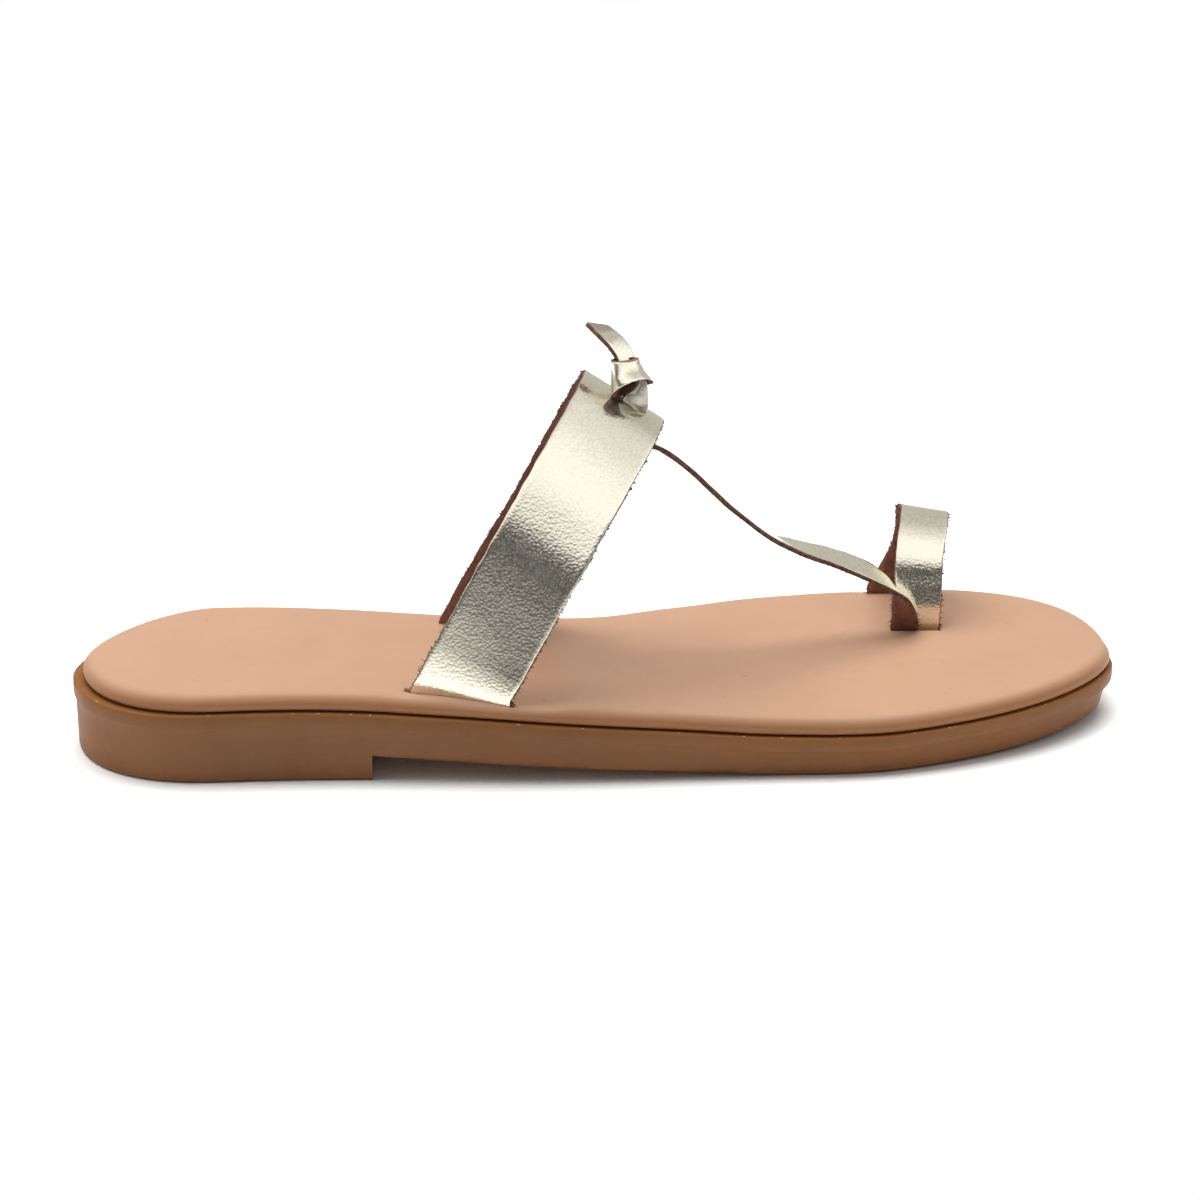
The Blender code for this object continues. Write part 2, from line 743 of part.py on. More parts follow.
class ProfileRow(NamedTuple):
    """One corner of a strap's section: side (-1 or 1), distance in from that edge, height over the middle."""

    side: int
    inset: float
    height: float


# The edges are rounded on the smooth side.
STRAP_PROFILE = (
    ProfileRow(-1, 0.0, -LEATHER / 2),
    ProfileRow(1, 0.0, -LEATHER / 2),
    ProfileRow(1, 0.0, LEATHER / 2 - LEATHER_EDGE_ROUND),
    ProfileRow(1, LEATHER_EDGE_ROUND, LEATHER / 2),
    ProfileRow(-1, LEATHER_EDGE_ROUND, LEATHER / 2),
    ProfileRow(-1, 0.0, LEATHER / 2 - LEATHER_EDGE_ROUND),
)


def make_strap(name, sections, collection):
    """Solid strap of leather through its sections, closed at both cut ends."""
    bm = bmesh.new()
    loops = []
    for section in sections:
        out = section.half.normalized()
        reach = section.half.length
        loop = []
        for row in STRAP_PROFILE:
            corner = section.centre + out * (row.side * (reach - row.inset)) + section.face * row.height
            loop.append(bm.verts.new(corner))
        loops.append(loop)
    for low, high in zip(loops, loops[1:]):
        for i in range(len(low)):
            j = (i + 1) % len(low)
            bm.faces.new((low[i], low[j], high[j], high[i]))
    bm.faces.new(loops[0])
    bm.faces.new(loops[-1])
    bmesh.ops.recalc_face_normals(bm, faces=bm.faces)
    mesh_data = bpy.data.meshes.new(name)
    bm.to_mesh(mesh_data)
    bm.free()
    return link(name, mesh_data, collection)


def make_box(name, centre, axes, sizes, collection):
    """Box cutter with its own axes."""
    bpy.ops.mesh.primitive_cube_add(size=1)
    box = bpy.context.object
    box.name = name
    turn = Matrix((axes[0], axes[1], axes[2])).transposed().to_4x4()
    box.matrix_world = Matrix.Translation(centre) @ turn @ Matrix.Diagonal((*sizes, 1))
    for owner in list(box.users_collection):
        owner.objects.unlink(box)
    collection.objects.link(box)
    box.hide_render = True
    box.display_type = "WIRE"
    return box


def cut(obj, cutter):
    modifier = obj.modifiers.new(cutter.name, "BOOLEAN")
    modifier.operation = "DIFFERENCE"
    modifier.object = cutter


def cut_arch(outsole, collection):
    """Cuts the hollow under the waist, from the heel's breast to where the forepart meets the floor."""
    breast = HEEL_X + HEEL_BLOCK_LENGTH
    end = HEEL_X + ARCH_END
    below = -5 * MM
    outline_curve = bpy.data.curves.new("arch_cutter", "CURVE")
    outline_curve.dimensions = "2D"
    outline_curve.fill_mode = "BOTH"
    outline_curve.extrude = BALL_WIDTH
    spline = outline_curve.splines.new("POLY")
    slope = ARCH_RISE / (end - breast)
    corners = ((breast, below), (end - below / slope, below), (breast, ARCH_RISE))
    spline.points.add(len(corners) - 1)
    for point, (x, z) in zip(spline.points, corners):
        point.co = (x, z, 0, 1)
    spline.use_cyclic_u = True
    guide = link("arch_guide", outline_curve, collection)
    guide.matrix_world = Matrix.Rotation(math.pi / 2, 4, "X")
    bpy.context.view_layer.update()
    evaluated = guide.evaluated_get(bpy.context.evaluated_depsgraph_get())
    mesh_data = bpy.data.meshes.new_from_object(evaluated)
    mesh_data.transform(guide.matrix_world)
    bpy.data.objects.remove(guide)
    bm = bmesh.new()
    bm.from_mesh(mesh_data)
    bmesh.ops.remove_doubles(bm, verts=bm.verts, dist=0.01 * MM)
    bmesh.ops.recalc_face_normals(bm, faces=bm.faces)
    bm.to_mesh(mesh_data)
    bm.free()
    cutter = link("arch_cutter", mesh_data, collection)
    cutter.hide_render = True
    cutter.display_type = "WIRE"
    cut(outsole, cutter)


def cut_slots(insole, outsole, cutters):
    """Cuts each slot through the insole, and the pocket for its folded tab into the sole's top."""
    for index, slot in enumerate(SLOTS):
        up = slot.run.cross(slot.inward)
        up = up if up.z > 0 else -up
        middle = slot.centre - up * (INSOLE_THICKNESS / 2)
        length = slot.length + 2 * SLOT_END_CLEARANCE
        width = slot.layers * LEATHER + (slot.layers + 1) * GAP
        sizes = (length, width, 3 * INSOLE_THICKNESS)
        cut(insole, make_box(f"slot_cutter_{index}", middle, (slot.run, slot.inward, up), sizes, cutters))
        # A slot with two straps has a tab on each side, so its pocket is centred.
        reach = TAB_LENGTH + 2 * TAB_BEND + width
        floor = slot.centre - up * (INSOLE_THICKNESS + GAP)
        pocket = floor + slot.inward * (0 if slot.layers > 1 else (reach - width) / 2)
        sizes = (length, slot.layers * reach, 2 * (LEATHER + 2 * GAP))
        cut(outsole, make_box(f"pocket_cutter_{index}", pocket, (slot.run, slot.inward, up), sizes, cutters))


def finish(obj, name, colour, roughness, metallic):
    """Gives a piece its own material and smooth shading."""
    material = bpy.data.materials.new(name)
    material.use_nodes = True
    shader = material.node_tree.nodes["Principled BSDF"]
    shader.inputs["Base Color"].default_value = (*colour, 1)
    shader.inputs["Roughness"].default_value = roughness
    shader.inputs["Metallic"].default_value = metallic
    obj.data.materials.append(material)
    obj.data.shade_smooth()


def clear_scene():
    for obj in list(bpy.data.objects):
        bpy.data.objects.remove(obj)


def new_collection(name):
    collection = bpy.data.collections.new(name)
    bpy.context.scene.collection.children.link(collection)
    return collection


def main():
    clear_scene()
    sandal = new_collection("toe_loop_sandal")
    cutters = new_collection("cutters")
    outsole = make_outsole(sandal)
    insole = make_insole(sandal)
    cut_arch(outsole, cutters)
    cut_slots(insole, outsole, cutters)

    instep = arch_sections(
        INSTEP_ROWS,
        first=INSTEP_LATERAL,
        second=INSTEP_MEDIAL,
        rise=INSTEP_RISE,
        lean=INSTEP_LEAN,
        width=INSTEP_WIDTH,
        shift=Vector((0, 0, 0)),
    )
    instep_strap = make_strap("instep_strap", instep, sandal)
    toe = arch_sections(
        TOE_LOOP_ROWS,
        first=TOE_INNER,
        second=TOE_OUTER,
        rise=TOE_LOOP_RISE,
        lean=TOE_LOOP_LEAN,
        width=TOE_LOOP_WIDTH,
        shift=LAYER_STEP,
    )
    toe_loop = make_strap("toe_loop", toe, sandal)

    frame = slit_frame(instep)
    sizes = (SLIT_LENGTH, SLIT_WIDTH, 4 * LEATHER)
    cut(instep_strap, make_box("slit_cutter", frame[0], frame[1:], sizes, cutters))
    toe_strap = make_strap("toe_strap", toe_strap_sections(frame), sandal)
    knot = make_knot(frame, sandal, cutters)

    finish(outsole, "sole_rubber", colour=(0.25, 0.13, 0.06), roughness=0.6, metallic=0.0)
    finish(insole, "insole_leather", colour=(0.6, 0.36, 0.24), roughness=0.5, metallic=0.0)
    finish(instep_strap, "instep_leather", colour=(0.6, 0.55, 0.42), roughness=0.3, metallic=1.0)
    finish(toe_loop, "toe_loop_leather", colour=(0.6, 0.55, 0.42), roughness=0.3, metallic=1.0)
    finish(toe_strap, "toe_strap_leather", colour=(0.6, 0.55, 0.42), roughness=0.3, metallic=1.0)
    finish(knot, "knot_leather", colour=(0.6, 0.55, 0.42), roughness=0.3, metallic=1.0)


main()
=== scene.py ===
"""Looks of the right-foot toe loop sandal: leather, rubber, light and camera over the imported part."""

import json
import math
from typing import NamedTuple

import bmesh
import bpy
import numpy as np
from mathutils import Matrix, Vector

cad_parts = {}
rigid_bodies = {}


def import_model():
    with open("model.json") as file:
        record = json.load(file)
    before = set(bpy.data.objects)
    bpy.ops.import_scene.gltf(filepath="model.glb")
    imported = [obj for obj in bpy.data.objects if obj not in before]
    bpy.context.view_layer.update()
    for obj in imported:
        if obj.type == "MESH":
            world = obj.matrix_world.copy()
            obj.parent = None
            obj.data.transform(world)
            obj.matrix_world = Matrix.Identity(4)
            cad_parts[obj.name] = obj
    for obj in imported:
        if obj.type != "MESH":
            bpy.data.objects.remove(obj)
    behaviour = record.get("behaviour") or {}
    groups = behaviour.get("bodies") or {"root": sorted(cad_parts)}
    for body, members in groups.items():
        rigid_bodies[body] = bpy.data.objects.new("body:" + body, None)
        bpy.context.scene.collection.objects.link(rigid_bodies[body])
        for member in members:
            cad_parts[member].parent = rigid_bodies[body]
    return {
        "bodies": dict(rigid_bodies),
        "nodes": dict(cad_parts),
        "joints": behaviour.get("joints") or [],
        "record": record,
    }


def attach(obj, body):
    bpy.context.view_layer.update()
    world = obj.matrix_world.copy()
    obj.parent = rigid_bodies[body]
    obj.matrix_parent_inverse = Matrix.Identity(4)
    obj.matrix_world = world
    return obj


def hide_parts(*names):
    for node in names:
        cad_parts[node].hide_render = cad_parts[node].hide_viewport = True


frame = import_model()

MM = 0.001

# Sole sizes
SOLE_LENGTH = 258.3 * MM
HEEL_WIDTH = 63.5 * MM
WAIST_WIDTH = 64.5 * MM
BALL_WIDTH = 89 * MM
HEEL_HEIGHT = 17.6 * MM
FOREPART_HEIGHT = 10.3 * MM
TOE_SPRING = 1.8 * MM
HEEL_BLOCK_LENGTH = 71.8 * MM
ARCH_RISE = 6.6 * MM
ARCH_END = 175.6 * MM
BAND_HEIGHT = 3.6 * MM
BAND_STEP_HEEL = 0.5 * MM
BAND_STEP_TOE = 1.3 * MM
WALL_TAPER_HEEL = 0.3 * MM
WALL_TAPER_TOE = 1.3 * MM
BOTTOM_EDGE_ROUND = 1.0 * MM
BAND_EDGE_ROUND = 0.5 * MM

# Insole sizes
INSOLE_LENGTH = 255 * MM
INSOLE_THICKNESS = 4.2 * MM
INSOLE_INSET = 0.9 * MM
INSOLE_SHIFT = 0.9 * MM
INSOLE_TUCK = 1.0 * MM
INSOLE_ROLL = 3.0 * MM

# Strap sizes
LEATHER = 1.7 * MM
LEATHER_EDGE_ROUND = 0.4 * MM
INSTEP_WIDTH = 22.8 * MM
INSTEP_RISE = 65.4 * MM
INSTEP_LEAN = 36 * MM
TOE_LOOP_WIDTH = 12.2 * MM
TOE_LOOP_RISE = 26.2 * MM
TOE_LOOP_LEAN = 3.4 * MM
TOE_STRAP_WIDTH = 6.8 * MM
TAB_LENGTH = 9 * MM
TAB_BEND = 1.3 * MM

# Places of the straps' slots: share of the sole's length, and distance in from one edge of the sole
INSTEP_LATERAL_ALONG = 0.3623
INSTEP_LATERAL_INBOARD = 6.2 * MM
INSTEP_MEDIAL_ALONG = 0.4
INSTEP_MEDIAL_INBOARD = 7.2 * MM
TOE_INNER_ALONG = 0.819
TOE_INNER_INBOARD = 30 * MM
TOE_OUTER_ALONG = 0.81
TOE_OUTER_INBOARD = 4.6 * MM
# Headings of the slots from the shoe's axis, in degrees
INSTEP_LATERAL_HEADING = -17
INSTEP_MEDIAL_HEADING = -1
TOE_LOOP_HEADING = -8

# Knot sizes
SLIT_PLACE = 0.5
SLIT_ACROSS = 0.20
SLIT_LENGTH = 8.8 * MM
SLIT_WIDTH = 3.2 * MM
KNOT_RISE = 5.9 * MM
KNOT_OUT = 3.0 * MM
KNOT_LEAN_HEEL = 10
KNOT_LEAN_MEDIAL = 14
STAND_TOP = 2.2 * MM
STAND_GATHER = 0.52
TAIL_START = 4.6 * MM
TAIL_LENGTH = 12.5 * MM
TAIL_BACK = 0.4 * MM
TAIL_CUT = 2.0 * MM
# Widths of the free end at the sleeve and at its middle, as shares of the strap's
TAIL_GATHER_START = 0.66
TAIL_GATHER_END = 0.82

# Fits
GAP = 0.3 * MM
SLOT_END_CLEARANCE = 1.1 * MM

# Mesh steps
OUTLINE_STEPS = 44
STRAP_STEP = 2.6 * MM
TOE_STRAP_STEP = 1.56 * MM
TAIL_STEP = 1.82 * MM
# Least share of a strap's width that a section may take for the strap's own
LEAST_SLANT = 0.5
# Turns in degrees at which a strap's folded tab has its sections
TAB_TURNS = (90, 60, 30, 0)


class SoleRow(NamedTuple):
    """Edges of the sole at one place: shares of the length and of a named width."""

    along: float
    lateral: float
    medial: float
    width: float


SOLE_ROWS = [SoleRow(*row) for row in (
    (0.00, 0.492, 0.508, HEEL_WIDTH),
    (0.14, 0.492, 0.508, HEEL_WIDTH),
    (0.25, 0.512, 0.462, HEEL_WIDTH),
    (0.34, 0.545, 0.415, WAIST_WIDTH),
    (0.43, 0.585, 0.405, WAIST_WIDTH),
    (0.50, 0.600, 0.435, WAIST_WIDTH),
    (0.58, 0.440, 0.415, BALL_WIDTH),
    (0.66, 0.450, 0.510, BALL_WIDTH),
    (0.72, 0.458, 0.540, BALL_WIDTH),
    (0.80, 0.446, 0.553, BALL_WIDTH),
    (1.00, 0.440, 0.556, BALL_WIDTH),
)]

# Where the rounded ends start, as shares of the length, and how full their curves are
HEEL_END = 0.13
TOE_START = 0.75
HEEL_FULLNESS_LATERAL = 2.14
HEEL_FULLNESS_MEDIAL = 1.66
TOE_FULLNESS_LATERAL = 1.74
TOE_FULLNESS_MEDIAL = 2.5


class HeightRow(NamedTuple):
    """Height of the sole's top at one place: shares of the drop to the forepart and of the toe spring."""

    along: float
    drop: float
    spring: float


HEIGHT_ROWS = [HeightRow(*row) for row in (
    (0.00, 0.00, 0.0),
    (0.26, 0.00, 0.0),
    (0.36, 0.18, 0.0),
    (0.53, 0.61, 0.0),
    (0.66, 0.95, 0.0),
    (0.74, 1.00, 0.0),
    (0.85, 1.00, 0.3),
    (1.00, 1.00, 1.0),
)]


def smooth_value(xs, ys, x):
    """Value at x of a smooth curve through the points (xs, ys)."""
    slopes = np.gradient(ys, xs)
    i = int(np.clip(np.searchsorted(xs, x) - 1, 0, len(xs) - 2))
    h = xs[i + 1] - xs[i]
    t = min(max((x - xs[i]) / h, 0.0), 1.0)
    rise = ys[i + 1] - ys[i]
    low = ys[i] + slopes[i] * h * t
    high = ys[i + 1] - slopes[i + 1] * h * (1 - t)
    blend = t * t * (3 - 2 * t)
    straight = ys[i] + rise * t
    return straight + (low - straight) * (1 - blend) * (1 - t) + (high - straight) * blend * t


def rounded_end(share, fullness):
    """Half width of a rounded end, from 1 at its start to 0 at its tip."""
    return (1 - min(max(share, 0.0), 1.0) ** fullness) ** (1 / fullness)


def half_width(side, along):
    """Distance from the sole's axis to its lateral (-1) or medial (+1) edge."""
    widths = [(r.lateral if side < 0 else r.medial) * r.width for r in SOLE_ROWS]
    full = smooth_value([r.along for r in SOLE_ROWS], widths, along)
    heel_fullness = HEEL_FULLNESS_LATERAL if side < 0 else HEEL_FULLNESS_MEDIAL
    toe_fullness = TOE_FULLNESS_LATERAL if side < 0 else TOE_FULLNESS_MEDIAL
    heel = rounded_end((HEEL_END - along) / HEEL_END, heel_fullness)
    toe = rounded_end((along - TOE_START) / (1 - TOE_START), toe_fullness)
    return full * heel * toe


def run_along(points):
    """Distance run at each of a row of points."""
    return np.concatenate([[0], np.cumsum(np.linalg.norm(np.diff(points, axis=0), axis=1))])


def even_steps(run, step):
    return np.linspace(0, run[-1], max(3, round(run[-1] / step) + 1))


def side_points(side, count):
    """Points of one edge from heel tip to toe tip, evenly spread along it, on the sole's axis."""
    turns = np.linspace(0, math.pi, 1500)
    along = (1 - np.cos(turns)) / 2
    dense = np.array([(a * SOLE_LENGTH, side * half_width(side, a)) for a in along])
    run = run_along(dense)
    even = np.linspace(0, run[-1], count)
    return np.stack([np.interp(even, run, dense[:, 0]), np.interp(even, run, dense[:, 1])], 1)


LATERAL_EDGE = side_points(-1, OUTLINE_STEPS + 1)
MEDIAL_EDGE = side_points(1, OUTLINE_STEPS + 1)
# The axis is moved so that the footprint is centred on the origin.
AXIS_Y = -(LATERAL_EDGE[:, 1].min() + MEDIAL_EDGE[:, 1].max()) / 2
HEEL_X = -SOLE_LENGTH / 2


def along_of(x):
    """Share of the sole's length at a place x of the shoe."""
    return min(max((x - HEEL_X) / SOLE_LENGTH, 0.0), 1.0)


def edge_y(side, x):
    return AXIS_Y + side * half_width(side, along_of(x))


def seam_height(x):
    """Height of the sole's top, where the insole sits."""
    along = [r.along for r in HEIGHT_ROWS]
    drop = smooth_value(along, [r.drop for r in HEIGHT_ROWS], along_of(x))
    spring = smooth_value(along, [r.spring for r in HEIGHT_ROWS], along_of(x))
    return HEEL_HEIGHT + (FOREPART_HEIGHT - HEEL_HEIGHT) * drop + TOE_SPRING * spring


def seam_slope(x):
    step = 1 * MM
    return (seam_height(x + step) - seam_height(x - step)) / (2 * step)


def floor_height(x):
    """Height of the sole's underside without the arch: flat, then the toe spring."""
    along = [r.along for r in HEIGHT_ROWS]
    return TOE_SPRING * smooth_value(along, [r.spring for r in HEIGHT_ROWS], along_of(x))


def footbed_height(x):
    return seam_height(x) + GAP + INSOLE_THICKNESS


def inset_ring(ring, distances):
    """The ring moved inwards by a distance at each point."""
    ahead = np.roll(ring, -1, axis=0) - np.roll(ring, 1, axis=0)
    ahead /= np.linalg.norm(ahead, axis=1)[:, None]
    inwards = np.stack([-ahead[:, 1], ahead[:, 0]], 1)
    return ring + inwards * np.asarray(distances)[:, None]


class Slot(NamedTuple):
    """A slot in the insole: the middle of its mouth, the way it runs, and the way its strap's tab folds."""

    centre: Vector
    run: Vector
    inward: Vector
    length: float
    layers: int


def make_slot(side, along, inboard, heading, length, layers, tab_side):
    """Slot at a share of the length, inboard of one edge, headed some degrees from the shoe's axis."""
    x = HEEL_X + along * SOLE_LENGTH
    y = edge_y(side, x) - side * inboard
    turn = math.radians(heading)
    run = Vector((math.cos(turn), math.sin(turn), seam_slope(x) * math.cos(turn))).normalized()
    across = Vector((-math.sin(turn), math.cos(turn), -seam_slope(x) * math.sin(turn)))
    centre = Vector((x, y, footbed_height(x)))
    return Slot(centre, run, across.normalized() * tab_side, length, layers)


# The band leans forward, so its slot is longer than the band is wide.
LEAN_ANGLE = math.atan2(INSTEP_LEAN, INSTEP_RISE)
INSTEP_FOOT = INSTEP_WIDTH / math.cos(LEAN_ANGLE)
# Side, share of the length, distance inboard, heading, length, layers and side of the tab of each slot
SLOTS = INSTEP_LATERAL, INSTEP_MEDIAL, TOE_INNER, TOE_OUTER = [make_slot(*row) for row in (
    (-1, INSTEP_LATERAL_ALONG, INSTEP_LATERAL_INBOARD, INSTEP_LATERAL_HEADING, INSTEP_FOOT, 1, 1),
    (1, INSTEP_MEDIAL_ALONG, INSTEP_MEDIAL_INBOARD, INSTEP_MEDIAL_HEADING, INSTEP_FOOT, 1, -1),
    (1, TOE_INNER_ALONG, TOE_INNER_INBOARD, TOE_LOOP_HEADING, TOE_LOOP_WIDTH, 2, 1),
    (1, TOE_OUTER_ALONG, TOE_OUTER_INBOARD, TOE_LOOP_HEADING, TOE_LOOP_WIDTH, 1, -1),
)]
# The toe strap shares the loop's inner slot: it lies outside the loop, at the slot's heel end,
# and its tab folds the other way.
LAYER_STEP = TOE_INNER.inward * ((LEATHER + GAP) / 2)
HEEL_END_STEP = TOE_INNER.run * ((TOE_LOOP_WIDTH - TOE_STRAP_WIDTH) / 2)
TOE_STRAP_SLOT = TOE_INNER._replace(
    centre=TOE_INNER.centre - LAYER_STEP - HEEL_END_STEP,
    inward=-TOE_INNER.inward,
)


class Section(NamedTuple):
    """Cross-section of a strap: its middle, half its width as a vector, and where its smooth side faces."""

    centre: Vector
    half: Vector
    face: Vector


class ArchRow(NamedTuple):
    """One section of a strap that arches from slot to slot.

    across is a share of the way from the first slot to the second, rise and lean are shares of the
    arch's own, and dip is how far the section tips forward and down, in degrees.
    """

    across: float
    rise: float
    lean: float
    dip: float


def curve_through(points, step):
    """Rows at evenly spaced places on a smooth curve through the rows of points."""
    points = np.asarray(points, float)
    place = points[:, :3]
    knots = np.concatenate([[0], np.cumsum(np.linalg.norm(np.diff(place, axis=0), axis=1) ** 0.5)])
    fine = np.linspace(0, knots[-1], 40 * len(points))
    dense = np.array([[smooth_value(knots, points[:, c], t) for c in range(points.shape[1])] for t in fine])
    run = run_along(dense[:, :3])
    even = even_steps(run, step)
    return np.stack([np.interp(even, run, dense[:, c]) for c in range(points.shape[1])], 1)


def sections_along(path, width, square):
    """Sections of a strap from rows of place and width direction.

    They stay square to the path, or they keep their direction and are wider where the strap is oblique.
    """
    centres = [Vector(row[:3]) for row in path]
    sections = []
    for i, row in enumerate(path):
        ahead = (centres[min(i + 1, len(path) - 1)] - centres[max(i - 1, 0)]).normalized()
        side = Vector(row[3:6]).normalized()
        across = side - ahead * side.dot(ahead)
        reach = width / 2
        if square:
            side = across.normalized()
        else:
            reach /= max(across.length, LEAST_SLANT)
        sections.append(Section(centres[i], side * reach, ahead.cross(side).normalized()))
    return sections


def tab_sections(slot, foot, shift):
    """Sections that carry a strap down through its slot and fold it inwards under the insole."""
    down = Vector((0, 0, -1))
    inward = slot.inward
    half = slot.run * min(foot.half.length, slot.length / 2)
    half = -half if half.dot(foot.half) < 0 else half
    # The strap's middle drops until the fold's underside would touch the pocket's floor.
    mouth = slot.centre + shift
    drop = INSOLE_THICKNESS + GAP + LEATHER / 2 - TAB_BEND
    centre = mouth + down * drop + inward * TAB_BEND
    face_turns = -1 if foot.face.dot(inward) < 0 else 1
    bent = []
    for degrees in TAB_TURNS:
        turn = math.radians(degrees)
        outwards = -inward * math.cos(turn) + down * math.sin(turn)
        bent.append(Section(centre + outwards * TAB_BEND, half, -outwards * face_turns))
    end = bent[0].centre + inward * TAB_LENGTH
    return [Section(end, half, bent[0].face)] + bent


def arch_sections(rows, first, second, rise, lean, width, shift):
    """Sections of a strap from the tab in its first slot, over the arch, to the tab in its second slot."""
    start, end = first.centre + shift, second.centre
    table = []
    for row in rows:
        point = start.lerp(end, row.across) + Vector((row.lean * lean, 0, row.rise * rise))
        blend = row.across * row.across * (3 - 2 * row.across)
        side = first.run.lerp(second.run, min(max(blend, 0), 1)).normalized()
        dip = math.radians(row.dip)
        side = side * math.cos(dip) - Vector((0, 0, math.sin(dip)))
        table.append((*point, *side))
    sections = sections_along(curve_through(table, STRAP_STEP), width, square=False)
    if sections[len(sections) // 2].face.z < 0:
        sections = [Section(s.centre, s.half, -s.face) for s in sections]
    feet = tab_sections(first, sections[0], shift)
    far_feet = tab_sections(second, sections[-1], Vector((0, 0, 0)))
    return feet + sections + far_feet[::-1]


INSTEP_ROWS = [ArchRow(*row) for row in (
    (0.000, 0.00, 0.00, 0),
    (-0.005, 0.06, 0.055, 9),
    (0.011, 0.20, 0.195, 24),
    (0.050, 0.40, 0.39, 29),
    (0.100, 0.60, 0.59, 30),
    (0.155, 0.78, 0.77, 30),
    (0.250, 0.91, 0.905, 30),
    (0.370, 0.98, 0.98, 30),
    (0.500, 1.00, 1.00, 30),
    (0.630, 0.98, 0.98, 30),
    (0.750, 0.91, 0.905, 30),
    (0.850, 0.78, 0.78, 30),
    (0.920, 0.60, 0.60, 30),
    (0.975, 0.40, 0.40, 30),
    (1.005, 0.20, 0.20, 24),
    (1.008, 0.06, 0.055, 9),
    (1.000, 0.00, 0.00, 0),
)]

TOE_LOOP_ROWS = [ArchRow(*row) for row in (
    (0.00, 0.00, 0.00, 0),
    (-0.02, 0.20, 0.05, 1),
    (-0.01, 0.45, 0.15, 2),
    (0.06, 0.70, 0.36, 4),
    (0.22, 0.92, 0.85, 7),
    (0.46, 1.00, 1.35, 9),
    (0.72, 0.93, 1.45, 11),
    (0.92, 0.72, 1.15, 10),
    (1.01, 0.45, 0.75, 7),
    (1.02, 0.22, 0.35, 4),
    (1.00, 0.07, 0.08, 1),
    (1.00, 0.00, 0.00, 0),
)]


class RouteRow(NamedTuple):
    """One place on the toe strap, in mm from the loop's inner slot: its middle and its width direction."""

    x: float
    y: float
    z: float
    side_x: float
    side_y: float
    side_z: float


TOE_STRAP_ROWS = [RouteRow(*row) for row in (
    (0.0, 0.0, 0.0, 0.99, -0.14, 0.0),
    (-0.6, -1.8, 4.9, 0.75, -0.65, 0.1),
    (-2.0, -3.4, 9.7, 0.35, -0.93, 0.1),
    (-4.6, -4.2, 12.9, 0.1, -0.98, -0.15),
    (-7.8, -4.6, 15.5, 0.05, -0.94, -0.33),
    (-11.5, -5.2, 18.0, 0.0, -0.92, -0.38),
    (-18.8, -6.8, 21.7, 0.0, -0.94, -0.32),
    (-30.2, -11.1, 27.0, 0.0, -0.98, -0.05),
    (-36.4, -13.3, 30.4, -0.05, -0.97, 0.2),
    (-46.3, -16.9, 39.1, -0.08, -0.94, 0.33),
    (-51.8, -19.0, 45.0, -0.08, -0.94, 0.33),
    (-58.4, -21.5, 52.1, -0.08, -0.94, 0.33),
    (-66.2, -24.6, 58.9, -0.08, -0.96, 0.28),
)]


class StandRow(NamedTuple):
    """One place on the toe strap under the band, in mm from the slit's middle in the band's own directions.

    forward, sideways and outward give its middle; the rest give its width direction.
    """

    forward: float
    sideways: float
    outward: float
    side_forward: float
    side_sideways: float
    side_outward: float


STAND_ROWS = [StandRow(*row) for row in (
    (6.5, 0.0, -5.7, -0.1, -1.0, 0.0),
    (2.8, -0.2, -4.9, -0.6, -0.8, -0.3),
    (0.4, -0.1, -2.6, -0.9, -0.4, -0.2),
    (0.0, 0.0, 0.0, -1.0, 0.0, 0.0),
)]


class TailRow(NamedTuple):
    """One place on the knot's free end, as shares of its length, and how far its width faces the toe."""

    right: float
    up: float
    back: float
    facing: float


TAIL_ROWS = [TailRow(*row) for row in (
    (0.0, 0.0, 0.0, 0.9),
    (0.0, 0.12, 0.0, 0.9),
    (-0.02, 0.28, 0.01, 0.88),
    (-0.12, 0.50, 0.03, 0.8),
    (-0.26, 0.72, 0.07, 0.7),
    (-0.41, 0.90, 0.12, 0.62),
)]


def slit_frame(sections):
    """Middle of the slit near the top of the instep band, with the band's own directions.

    The directions are forward, sideways and outward.
    """
    place = SLIT_PLACE * (len(sections) - 1)
    low = sections[int(place)]
    high = sections[int(place) + 1]
    share = place - int(place)
    forward = low.half.lerp(high.half, share)
    if forward.x < 0:
        forward = -forward
    centre = low.centre.lerp(high.centre, share) + forward * SLIT_ACROSS
    outward = low.face.lerp(high.face, share).normalized()
    forward = (forward - outward * forward.dot(outward)).normalized()
    return centre, forward, outward.cross(forward), outward


def knot_axis():
    """Way in which the knot's sleeve points, up and a little towards the heel and the inner side."""
    heel = math.tan(math.radians(KNOT_LEAN_HEEL))
    medial = math.tan(math.radians(KNOT_LEAN_MEDIAL))
    return Vector((-heel, medial, 1)).normalized()


